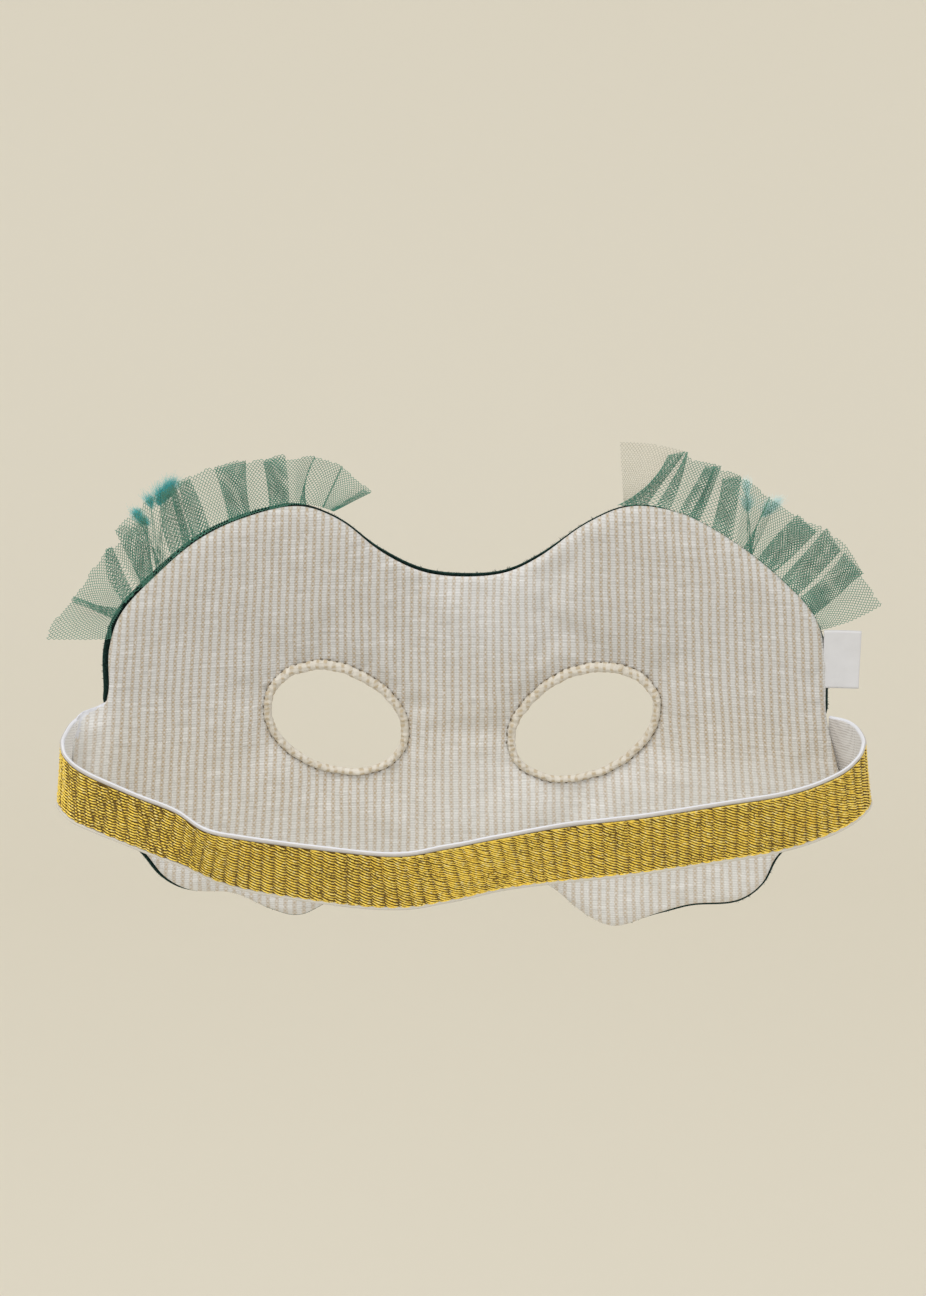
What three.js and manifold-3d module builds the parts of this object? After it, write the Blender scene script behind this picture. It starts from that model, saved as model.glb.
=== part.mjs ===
// A child's dress-up eye mask of cloth, with two tulle frills and an elastic strap.
// Millimetres, +Z up, +Y the way the wearer looks, +X to the wearer's right.
// Origin: the lining's face between the eyes, where the mask sits on the nose bridge.

import * as THREE from "three";
import { mergeVertices } from "three/addons/utils/BufferGeometryUtils.js";
import Module from "manifold-3d";

const wasm = await Module();
wasm.setup();

// ---- driving dimensions -------------------------------------------------------------

const GAP = 0.35;              // clear space between neighbouring pieces
const BOW = 12;                // how far the mask curves back at 100 mm from the middle
const PILE_END = 100.9;        // distance from the middle where the pile cloth ends at a tab
const TAB_START = 99;          // distance from the middle where the side tabs begin to curl
const TAB_CURL = 0.035;        // extra curl of the side tabs, in mm for each mm squared
const LINING = 1.2;            // thickness of the striped lining with its thin wadding
const PILE = 1.8;              // thickness of the pile cloth on the front
const HEM = 2.5;               // width of the turned hem round an eye hole
const HEM_PROUD = 0.5;         // how far a hem stands out of both faces
const STRAP_WIDTH = 20;
const STRAP_THICK = 1.5;
const FRILL_THICK = 1.2;
const FRILL_DEPTH = 3.2;       // how far a pleat swings to either side at the rim
const LABEL = { x: 100.6, z: 22.7, long: 8.0, tall: 16.5, thick: 1.0, curl: 0.5 };

const OUTLINE_STEPS = 5;       // straight edges between two neighbouring outline rows
const BOW_STEPS = 18;          // flat strips that make up the bow between the side tabs
const TAB_STEPS = 4;           // flat strips that make up each curling side tab
const REACH = 109;             // half the width of the slab that the lining is cut from
const TALL = 150;              // half the height of the slab that a panel is cut from
const EYE_STEPS = 48;          // straight edges round an eye opening
const PLEAT_STEPS = 4;         // sections between two neighbouring pleats of a frill
const STRAP_STEPS = 84;        // sections along the strap

// The outline, from the dip between the humps round to the nose. Each side gives the distance
// from the middle, the height, and how far the pile cloth shows past the lining.
const MIDDLE_TOP = { x: -2.0, z: 42.3, edge: 0.4 };
const OUTLINE = [
  { at: "dip foot", right: [11.0, 43.5, 0.2], left: [12.4, 43.9, 0.4] },
  { at: "inner slope, low", right: [20.7, 48.4, 0.1], left: [23.4, 49.7, 0.3] },
  { at: "inner slope, high", right: [33.0, 57.9, 0.1], left: [34.3, 58.7, 0.2] },
  { at: "hump top", right: [45.2, 63.4, 0.1], left: [45.2, 63.0, 0.2] },
  { at: "hump shoulder", right: [58.8, 62.0, 0.1], left: [58.8, 60.7, 0.4] },
  { at: "outer slope, high", right: [72.5, 55.3, 0.1], left: [72.5, 54.8, 0.6] },
  { at: "outer slope, low", right: [86.3, 45.0, 0.1], left: [85.5, 44.1, 0.8] },
  { at: "temple corner", right: [96.0, 34.6, 0.2], left: [94.7, 34.0, 1.1] },
  { at: "temple", right: [99.1, 24.5, 0.6], left: [98.0, 24.0, 1.3] },
  { at: "side seam", right: [99.8, 7.1, 0.7], left: [99.2, 9.4, 1.2] },
  { at: "tab, above", right: [101.0, 1.3, 0.7], left: [105.2, 6.0, 0.9] },
  { at: "tab, middle", right: [103.4, -8.1, 0.7], left: [106.3, -3.0, 0.9] },
  { at: "tab, below", right: [104.6, -15.5, 0.7], left: [105.4, -13.5, 0.9] },
  { at: "under the flare", right: [97.4, -25.8, 0.8], left: [98.2, -25.6, 1.0] },
  { at: "lower side", right: [87.6, -36.4, 0.8], left: [89.4, -37.0, 1.3] },
  { at: "corner, outside", right: [83.7, -45.1, 0.7], left: [84.6, -44.0, 1.3] },
  { at: "corner, below", right: [77.0, -50.6, 0.9], left: [77.5, -48.6, 1.2] },
  { at: "scallop", right: [63.8, -52.8, 0.9], left: [66.0, -50.0, 1.0] },
  { at: "scallop end", right: [54.0, -56.4, 0.9], left: [56.4, -54.9, 1.0] },
  { at: "lobe tip", right: [42.4, -60.8, 0.9], left: [47.7, -57.8, 1.0] },
  { at: "lobe, inside", right: [34.2, -57.4, 0.8], left: [40.4, -54.8, 0.9] },
  { at: "nose wing", right: [24.0, -49.1, 0.8], left: [27.5, -47.4, 0.8] },
  { at: "nose arch", right: [12.0, -44.4, 0.8], left: [13.5, -44.0, 0.8] },
];
const MIDDLE_LOW = { x: 0.0, z: -42.8, edge: 0.8 };

// The eye openings: ovals with their outer ends tipped up.
const EYES = [
  { side: "right", x: 33.2, z: -0.4, long: 20.5, short: 13.7, tilt: 28.8 },
  { side: "left", x: -35.9, z: 0.6, long: 19.1, short: 13.4, tilt: -26.4 },
];

// The frills, a row for each pleat: the place on the outline, counted in its rows from the
// dip, that its foot is sewn to, and where its rim stands.
const FRILLS = {
  left: [
    { foot: 8.95, rim: [-115.2, 27.7] },
    { foot: 8.3, rim: [-106.6, 36.6] },
    { foot: 7.8, rim: [-99.4, 51.0] },
    { foot: 7.35, rim: [-92.6, 62.6] },
    { foot: 6.85, rim: [-82.2, 71.6] },
    { foot: 6.35, rim: [-73.0, 75.4] },
    { foot: 5.75, rim: [-64.3, 75.9] },
    { foot: 5.2, rim: [-56.0, 75.6] },
    { foot: 4.75, rim: [-49.2, 78.0] },
    { foot: 4.35, rim: [-41.0, 77.3] },
    { foot: 3.85, rim: [-33.6, 75.0] },
    { foot: 3.45, rim: [-25.5, 66.8] },
  ],
  right: [
    { foot: 3.8, rim: [42.3, 81.0] },
    { foot: 4.25, rim: [52.0, 79.0] },
    { foot: 4.7, rim: [60.6, 77.7] },
    { foot: 5.15, rim: [67.0, 75.9] },
    { foot: 5.6, rim: [73.0, 74.2] },
    { foot: 6.05, rim: [78.4, 70.6] },
    { foot: 6.45, rim: [84.8, 66.2] },
    { foot: 6.85, rim: [92.0, 60.9] },
    { foot: 7.25, rim: [98.4, 56.4] },
    { foot: 7.7, rim: [104.0, 49.4] },
    { foot: 8.1, rim: [109.9, 41.4] },
    { foot: 8.5, rim: [115.2, 37.4] },
  ],
};

// The tufts behind the frills: sections from the foot, which lies against the pile cloth just
// below its edge, to the tip. Behind is how far a section's middle is from the lining's face.
const TUFTS = {
  left: [
    { x: -84.0, z: 44.5, wide: 2.4, thick: 1.6, behind: 4.8 },
    { x: -84.6, z: 53.5, wide: 7.5, thick: 2.6, behind: 6.6 },
    { x: -85.2, z: 60.0, wide: 13.0, thick: 3.2, behind: 7.4 },
    { x: -84.2, z: 65.5, wide: 12.5, thick: 2.8, behind: 7.4 },
    { x: -81.8, z: 69.6, wide: 6.5, thick: 1.6, behind: 7.4 },
  ],
  right: [
    { x: 78.0, z: 49.0, wide: 2.4, thick: 1.6, behind: 4.8 },
    { x: 78.7, z: 56.6, wide: 6.0, thick: 2.4, behind: 6.4 },
    { x: 79.6, z: 61.8, wide: 9.5, thick: 3.0, behind: 7.4 },
    { x: 80.0, z: 65.6, wide: 9.5, thick: 2.6, behind: 7.4 },
    { x: 80.2, z: 68.6, wide: 5.0, thick: 1.6, behind: 7.4 },
  ],
};

// The strap's middle line from the left side seam round to the right one. Lean is how far the
// top edge tips away from the head, in degrees.
const STRAP = [
  { x: -101.6, y: -10.1, z: -2.6, lean: 0 },
  { x: -104.2, y: -11.2, z: -3.4, lean: 0 },
  { x: -107.0, y: -13.0, z: -4.4, lean: -1 },
  { x: -109.4, y: -17.0, z: -4.8, lean: -3 },
  { x: -110.2, y: -22.5, z: -4.8, lean: -4 },
  { x: -110.2, y: -28.5, z: -4.5, lean: -3 },
  { x: -109.2, y: -34.0, z: -4.7, lean: 0 },
  { x: -106.2, y: -38.6, z: -6.6, lean: 7 },
  { x: -100.2, y: -42.4, z: -8.8, lean: 14 },
  { x: -86.5, y: -48.1, z: -12.5, lean: 17 },
  { x: -75.5, y: -51.5, z: -15.6, lean: 18 },
  { x: -67.5, y: -53.5, z: -19.4, lean: 24 },
  { x: -56.5, y: -55.6, z: -21.4, lean: 21 },
  { x: -32.3, y: -58.6, z: -23.6, lean: 19 },
  { x: -16.3, y: -59.7, z: -24.2, lean: 20 },
  { x: -4.0, y: -60.0, z: -22.0, lean: 19 },
  { x: 12.5, y: -59.9, z: -18.2, lean: 21 },
  { x: 28.0, y: -59.0, z: -16.0, lean: 17 },
  { x: 47.5, y: -56.9, z: -14.4, lean: 16 },
  { x: 68.9, y: -53.0, z: -12.3, lean: 15 },
  { x: 86.5, y: -48.2, z: -10.9, lean: 15 },
  { x: 99.5, y: -42.3, z: -8.3, lean: 12 },
  { x: 105.6, y: -38.3, z: -5.8, lean: 7 },
  { x: 109.0, y: -33.6, z: -3.8, lean: 0 },
  { x: 110.2, y: -28.0, z: -3.7, lean: -3 },
  { x: 110.0, y: -22.0, z: -4.0, lean: -4 },
  { x: 108.8, y: -16.4, z: -4.3, lean: -3 },
  { x: 105.6, y: -12.0, z: -4.3, lean: -1 },
  { x: 102.2, y: -10.2, z: -4.2, lean: 0 },
];

// ---- materials ----------------------------------------------------------------------

function cloth(color, roughness = 0.9, metalness = 0) {
  return new THREE.MeshStandardMaterial({ color, roughness, metalness });
}

const MATERIALS = {
  lining: cloth(0xc9c3b6),
  pile: cloth(0x1f3a30, 0.95),
  tulle: cloth(0x86a893, 0.8),
  feather: cloth(0x56b3aa, 0.95),
  elastic: cloth(0xc9a232, 0.55, 0.3),
  ribbon: cloth(0xe4e6ea, 0.6),
};

// ---- helpers ------------------------------------------------------------------------

// The lining's face curves back towards the temples, and more so in the side tabs.
function faceY(x) {
  const tab = Math.max(0, Math.abs(x) - TAB_START);
  return -BOW * (x / 100) ** 2 - TAB_CURL * tab ** 2;
}

// Six times the volume inside the triangles, negative where they face inwards.
function signedVolume(points, triangles) {
  let sum = 0;
  for (const [a, b, c] of triangles) {
    sum += points[a].dot(points[b].clone().cross(points[c]));
  }
  return sum;
}

function solid(points, triangles) {
  const facing = signedVolume(points, triangles) > 0
    ? triangles
    : triangles.map(([a, b, c]) => [a, c, b]);
  const geometry = new THREE.BufferGeometry().setFromPoints(points);
  geometry.setIndex(facing.flat());
  return geometry;
}

// A solid through a row of closed sections with the same number of points. It ends in two flat
// caps, or joins up with its first section when looped.
function loft(sections, looped = false) {
  const size = sections[0].length;
  const points = sections.flat();
  const triangles = [];
  const spans = looped ? sections.length : sections.length - 1;
  for (let i = 0; i < spans; i += 1) {
    const here = i * size;
    const next = ((i + 1) % sections.length) * size;
    for (let j = 0; j < size; j += 1) {
      const k = (j + 1) % size;
      triangles.push([here + j, here + k, next + k], [here + j, next + k, next + j]);
    }
  }
  if (!looped) {
    const last = points.length - size;
    for (const [start, sign] of [[0, -1], [last, 1]]) {
      const centre = new THREE.Vector3();
      for (let j = 0; j < size; j += 1) centre.addScaledVector(points[start + j], 1 / size);
      points.push(centre);
      const hub = points.length - 1;
      for (let j = 0; j < size; j += 1) {
        const k = (j + 1) % size;
        const pair = sign > 0 ? [start + j, start + k] : [start + k, start + j];
        triangles.push([hub, ...pair]);
      }
    }
  }
  return solid(points, triangles);
}

function piece(name, geometry, material) {
  geometry.computeVertexNormals();
  const mesh = new THREE.Mesh(geometry, material);
  mesh.name = name;
  return mesh;
}

// A point of a smooth curve, at a place counted in the rows of the table it was made from.
function smoothAt(curve, place, count) {
  return curve.getPoint(THREE.MathUtils.clamp(place / (count - 1), 0, 1));
}

// ---- outline ------------------------------------------------------------------------

// Every row as a control point: x across, y up, z the edge that shows.
const CONTROLS = [
  new THREE.Vector3(MIDDLE_TOP.x, MIDDLE_TOP.z, MIDDLE_TOP.edge),
  ...OUTLINE.map(({ right: [x, z, edge] }) => new THREE.Vector3(x, z, edge)),
  new THREE.Vector3(MIDDLE_LOW.x, MIDDLE_LOW.z, MIDDLE_LOW.edge),
  ...[...OUTLINE].reverse().map(({ left: [x, z, edge] }) => new THREE.Vector3(-x, z, edge)),
];
const OUTLINE_CURVE = new THREE.CatmullRomCurve3(CONTROLS, true, "centripetal");

// The outline at a place counted in controls, pushed outwards by the edge that shows and by more.
function outlineAt(place, showing, more) {
  const t = (((place / CONTROLS.length) % 1) + 1) % 1;
  const point = OUTLINE_CURVE.getPoint(t);
  const along = OUTLINE_CURVE.getTangent(t).setZ(0).normalize();
  const push = showing * point.z + more;
  return new THREE.Vector2(point.x - along.y * push, point.y + along.x * push);
}

function outlinePoints(showing) {
  const points = [];
  for (let i = 0; i < CONTROLS.length * OUTLINE_STEPS; i += 1) {
    points.push(outlineAt(i / OUTLINE_STEPS, showing, 0));
  }
  return points;
}

// A place counted in outline rows on one side, as a place counted in controls.
function sidePlace(side, row) {
  return side === "right" ? row : CONTROLS.length - row;
}

// ---- panels -------------------------------------------------------------------------

function ovalPoints({ x, z, long, short, tilt }, grow) {
  const curve = new THREE.EllipseCurve(
    x, z, long + grow, short + grow, 0, 2 * Math.PI, false, THREE.MathUtils.degToRad(tilt),
  );
  return curve.getPoints(EYE_STEPS).slice(0, EYE_STEPS);
}

// A closed mesh as a solid that can be cut.
function toManifold(geometry) {
  return new wasm.Manifold(new wasm.Mesh({
    numProp: 3,
    vertProperties: new Float32Array(geometry.getAttribute("position").array),
    triVerts: new Uint32Array(geometry.getIndex().array),
  }));
}

function fromManifold(body) {
  const { vertProperties, triVerts } = body.getMesh();
  const geometry = new THREE.BufferGeometry();
  geometry.setAttribute("position", new THREE.Float32BufferAttribute(vertProperties, 3));
  geometry.setIndex(new THREE.Uint32BufferAttribute(triVerts, 1));
  return geometry;
}

// Evenly spaced places from one value to another, without the last one.
function spread(from, to, steps) {
  return Array.from({ length: steps }, (_, i) => THREE.MathUtils.lerp(from, to, i / steps));
}

// A tall slab of even thickness that follows the bow to a reach on either side.
function bowedSlab(near, far, reach) {
  const stations = [
    ...spread(-reach, -TAB_START, TAB_STEPS),
    ...spread(-TAB_START, TAB_START, BOW_STEPS),
    ...spread(TAB_START, reach, TAB_STEPS),
    reach,
  ];
  return loft(stations.map((x) => [
    new THREE.Vector3(x, faceY(x) + near, -TALL),
    new THREE.Vector3(x, faceY(x) + near, TALL),
    new THREE.Vector3(x, faceY(x) + far, TALL),
    new THREE.Vector3(x, faceY(x) + far, -TALL),
  ]));
}

// A panel with both eye holes, from one distance behind the lining's face to another.
function panel({ name, material, showing, near, far, reach }) {
  const shape = new THREE.Shape(outlinePoints(showing));
  for (const eye of EYES) {
    shape.holes.push(new THREE.Path(ovalPoints(eye, HEM + GAP)));
  }
  const deep = 60;             // far enough to pass through the slab everywhere
  const prism = new THREE.ExtrudeGeometry(shape, { depth: deep, bevelEnabled: false });
  prism.deleteAttribute("normal");
  prism.deleteAttribute("uv");
  prism.rotateX(Math.PI / 2).translate(0, deep / 2, 0);
  const slab = toManifold(bowedSlab(near, far, reach));
  const body = slab.intersect(toManifold(mergeVertices(prism)));
  return piece(name, fromManifold(body), material);
}

// ---- eye hems -----------------------------------------------------------------------

// A flat-sided ring with rounded lips that wraps the cut edges of both panels.
function eyeRim(eye) {
  const low = -HEM_PROUD;
  const high = LINING + GAP + PILE + HEM_PROUD;
  const soft = 0.6;            // how far its corners are cut back
  // Each row: how far out from the opening's edge, and how far behind the lining's face.
  const profile = [
    [0.0, low + soft],
    [soft, low],
    [HEM - soft, low],
    [HEM, low + soft],
    [HEM, high - soft],
    [HEM - soft, high],
    [soft, high],
    [0.0, high - soft],
  ];
  const rings = profile.map(([out]) => ovalPoints(eye, out));
  const sections = [];
  for (let i = 0; i < EYE_STEPS; i += 1) {
    sections.push(profile.map(([, behind], j) => {
      const { x, y: z } = rings[j][i];
      return new THREE.Vector3(x, faceY(x) + behind, z);
    }));
  }
  return piece(`eye_rim_${eye.side}`, loft(sections, true), MATERIALS.lining);
}

// ---- frills -------------------------------------------------------------------------

// A gathered frill: flat where it is sewn in, swinging to and fro by pleats at its rim.
function frill(side) {
  const table = FRILLS[side];
  const rims = new THREE.CatmullRomCurve3(
    table.map(({ rim: [x, z] }) => new THREE.Vector3(x, 0, z)), false, "centripetal",
  );
  const feet = new THREE.CatmullRomCurve3(
    table.map(({ foot }) => new THREE.Vector3(foot, 0, 0)), false, "catmullrom",
  );
  const count = (table.length - 1) * PLEAT_STEPS + 1;
  const rises = [0, 0.35, 0.7, 1];
  const sections = [];
  for (let i = 0; i < count; i += 1) {
    const place = i / PLEAT_STEPS;
    const rim = smoothAt(rims, place, table.length);
    const row = smoothAt(feet, place, table.length).x;
    const foot = outlineAt(sidePlace(side, row), 1, GAP);
    const swing = FRILL_DEPTH * Math.sin(place * Math.PI);
    const line = rises.map((rise) => {
      const x = THREE.MathUtils.lerp(foot.x, rim.x, rise);
      const z = THREE.MathUtils.lerp(foot.y, rim.z, rise);
      const seam = faceY(foot.x) + LINING + GAP / 2;
      return new THREE.Vector3(x, seam + swing * rise, z);
    });
    const half = FRILL_THICK / 2;
    const near = line.map((p) => new THREE.Vector3(p.x, p.y - half, p.z));
    const far = line.map((p) => new THREE.Vector3(p.x, p.y + half, p.z));
    sections.push([...near, ...far.reverse()]);
  }
  return piece(`ruffle_${side}`, loft(sections), MATERIALS.tulle);
}

// ---- tufts --------------------------------------------------------------------------

function tuft(side) {
  const around = 12;           // points round each section
  const sections = TUFTS[side].map(({ x, z, wide, thick, behind }) => {
    const ring = [];
    for (let i = 0; i < around; i += 1) {
      const angle = (2 * Math.PI * i) / around;
      const across = x + (wide / 2) * Math.cos(angle);
      const y = faceY(x) + behind + (thick / 2) * Math.sin(angle);
      ring.push(new THREE.Vector3(across, y, z));
    }
    return ring;
  });
  return piece(`tuft_${side}`, loft(sections), MATERIALS.feather);
}

// ---- strap --------------------------------------------------------------------------

function strap() {
  const path = new THREE.CatmullRomCurve3(
    STRAP.map(({ x, y, z }) => new THREE.Vector3(x, y, z)), false, "centripetal",
  );
  const leans = new THREE.CatmullRomCurve3(
    STRAP.map(({ lean }) => new THREE.Vector3(lean, 0, 0)), false, "catmullrom",
  );
  const soft = 0.35;           // how far its long edges are cut back
  const half = STRAP_WIDTH / 2;
  const thick = STRAP_THICK / 2;
  // Each row: along the width, and outwards through the thickness.
  const profile = [
    [-half + soft, -thick],
    [half - soft, -thick],
    [half, -thick + soft],
    [half, thick - soft],
    [half - soft, thick],
    [-half + soft, thick],
    [-half, thick - soft],
    [-half, -thick + soft],
  ];
  const up = new THREE.Vector3(0, 0, 1);
  const sections = [];
  for (let i = 0; i <= STRAP_STEPS; i += 1) {
    const t = i / STRAP_STEPS;
    const centre = path.getPoint(t);
    const along = path.getTangent(t).setZ(0).normalize();
    const outwards = new THREE.Vector3(along.y, -along.x, 0);
    const lean = THREE.MathUtils.degToRad(leans.getPoint(t).x);
    const across = up.clone().applyAxisAngle(along, lean);
    const through = outwards.clone().applyAxisAngle(along, lean);
    sections.push(profile.map(([w, d]) => (
      centre.clone().addScaledVector(across, w).addScaledVector(through, d)
    )));
  }
  return piece("strap", loft(sections), MATERIALS.elastic);
}

// ---- label --------------------------------------------------------------------------

// A short folded ribbon that stands out of the side seam, with its free end curled back a little.
function sideLabel() {
  const { x, z, long, tall, thick, curl } = LABEL;
  const steps = 6;
  const seam = faceY(x) + LINING + GAP / 2;
  const sections = [];
  for (let i = 0; i <= steps; i += 1) {
    const t = i / steps;
    const y = seam - curl * t * t;
    const half = (thick / 2) * Math.sqrt(1 - 0.8 * t ** 6);
    sections.push([
      new THREE.Vector3(x + long * t, y - half, z - tall / 2),
      new THREE.Vector3(x + long * t, y - half, z + tall / 2),
      new THREE.Vector3(x + long * t, y + half, z + tall / 2),
      new THREE.Vector3(x + long * t, y + half, z - tall / 2),
    ]);
  }
  return piece("side_label", loft(sections), MATERIALS.ribbon);
}

// ---- assembly -----------------------------------------------------------------------

const mask = new THREE.Group();
mask.add(panel({
  name: "back_panel",
  material: MATERIALS.lining,
  showing: 0,
  near: 0,
  far: LINING,
  reach: REACH,
}));
mask.add(panel({
  name: "front_panel",
  material: MATERIALS.pile,
  showing: 1,
  near: LINING + GAP,
  far: LINING + GAP + PILE,
  reach: PILE_END,
}));
for (const eye of EYES) mask.add(eyeRim(eye));
for (const side of ["left", "right"]) {
  mask.add(frill(side));
  mask.add(tuft(side));
}
mask.add(strap());
mask.add(sideLabel());

export default mask;
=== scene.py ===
import math

import bmesh
import bpy
import numpy as np
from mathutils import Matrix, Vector
from mathutils.geometry import delaunay_2d_cdt


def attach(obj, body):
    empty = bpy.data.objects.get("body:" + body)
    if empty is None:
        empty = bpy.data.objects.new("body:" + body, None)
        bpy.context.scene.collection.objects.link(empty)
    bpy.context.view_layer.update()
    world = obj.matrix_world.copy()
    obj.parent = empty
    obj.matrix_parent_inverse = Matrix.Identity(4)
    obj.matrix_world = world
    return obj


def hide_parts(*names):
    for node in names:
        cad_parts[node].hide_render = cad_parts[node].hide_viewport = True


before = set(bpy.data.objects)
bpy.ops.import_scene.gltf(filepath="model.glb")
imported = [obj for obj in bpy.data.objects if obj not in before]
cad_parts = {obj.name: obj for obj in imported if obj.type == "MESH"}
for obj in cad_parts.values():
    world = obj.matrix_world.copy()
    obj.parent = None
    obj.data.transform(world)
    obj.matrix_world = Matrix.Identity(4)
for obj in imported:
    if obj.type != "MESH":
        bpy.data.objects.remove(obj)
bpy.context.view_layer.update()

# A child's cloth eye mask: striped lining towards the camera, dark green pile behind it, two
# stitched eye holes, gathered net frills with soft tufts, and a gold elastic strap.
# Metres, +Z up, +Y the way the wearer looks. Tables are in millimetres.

MM = 0.001

# ---- driving dimensions, as in the part, in millimetres ----

GAP = 0.35              # clear space between neighbouring pieces
BOW = 12                # how far the mask curves back at 100 mm from the middle
TAB_START = 99          # distance from the middle where the side tabs begin to curl
TAB_CURL = 0.035        # extra curl of the side tabs, in mm for each mm squared
LINING = 1.2            # thickness of the lining with its wadding
PILE = 1.8              # thickness of the pile cloth
HEM = 2.5               # width of the hem round an eye hole
STRAP_WIDTH = 20
STRAP_THICK = 1.5
LABEL = dict(x=100.6, z=22.7, long=8.0, tall=16.5, curl=0.5)

# ---- looks, in millimetres ----

STRIPE = 2.35           # pitch of the lining's stripes
WEFT = 0.74             # pitch of its cross threads
WARP = 0.47             # pitch of its upright threads
LINK = 1.34             # length of a ring in the stripes
CLOTH_STEP = 2.6        # size of the cloth meshes' triangles before they are subdivided
CLOTH_SKIN = 0.35       # thickness of the cloth skins
EDGE_ROWS = (0.35, 0.9, 1.8)  # depths of the rows of points inside a cloth's edge
EDGE_ROLL = 1.4         # width over which a cloth's edge is rounded
EDGE_DROP = 0.9         # how far the rounding takes it towards the other cloth
TAB_THIN = 1.65         # how far the edge of the left tab goes back to the strap
GROOVE = 1.00           # depth to which the stitches draw the lining in beside the hem
PILE_GROOVE = 1.15      # the same for the pile cloth
SETTLE_LIMIT = 0.9      # furthest that the simulation may move a point
HOLE_EDGE = 0.92        # where both cloths end under a hem, as a share of its width
PILE_FIBRES = 52000     # number of fibres on the pile cloth
PILE_AT_EDGE = 8.0      # how many times denser they stand near the edge
PILE_DEPTH = 0.4        # how far the pile cloth's skin lies below its full thickness
LABEL_TUCK = 2.0        # length of the label that is hidden in the seam
LABEL_SKIN = 0.2        # thickness of the label's ribbon
NET = 0.96              # width of a hole of the net
NET_UPRIGHT = 0.22      # length of the short upright threads between its holes
NET_RISE = 0.37         # height of its slanting threads
NET_THREAD = 0.155      # width of a net thread
RIB = 3.3               # pitch of the columns of gold yarn across the strap
FLOAT_PITCH = 0.89      # distance between neighbouring gold floats in a column
DASH_COLUMNS = 1.6      # distance between the columns of dark gaps in the gold at the left
DASH_PITCH = 0.98       # distance between neighbouring gaps in a column
STITCH = 2.3            # pitch of the stitches round the eyes
RANDOM_SEED = 7

# The strap's middle line, from the left side seam round to the right one: x, y, z and the
# angle by which its top edge leans away from the head. It is the part's route, apart from the
# turns, where it shifts by up to 0.4 mm and leans by up to 4 degrees more, and the right end,
# which reaches 1.2 mm further in.
STRAP = [
    (-101.6, -10.1, -2.6, 0), (-104.2, -11.2, -3.4, -1), (-107.0, -13.0, -4.4, -3),
    (-109.2, -17.0, -4.8, -6), (-109.9, -22.5, -4.8, -7), (-109.9, -28.5, -4.5, -6),
    (-109.0, -34.0, -4.7, -2), (-106.2, -38.6, -6.6, 6), (-100.2, -42.4, -8.8, 14),
    (-86.5, -48.1, -12.5, 17), (-75.5, -51.5, -15.6, 18), (-67.5, -53.5, -19.4, 24),
    (-56.5, -55.6, -21.4, 21), (-32.3, -58.6, -23.6, 19), (-16.3, -59.7, -24.2, 20),
    (-4.0, -60.0, -22.0, 19), (12.5, -59.9, -18.2, 21), (28.0, -59.0, -16.0, 17),
    (47.5, -56.9, -14.4, 16), (68.9, -53.0, -12.3, 15), (86.5, -48.2, -10.9, 15),
    (99.5, -42.3, -8.3, 12), (105.6, -38.3, -5.8, 5), (108.8, -33.6, -3.8, -3),
    (109.8, -28.0, -3.7, -7), (109.6, -22.0, -4.0, -8), (108.4, -16.4, -4.3, -6),
    (105.4, -12.0, -4.3, -2), (101.0, -9.85, -4.2, 0),
]

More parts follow.
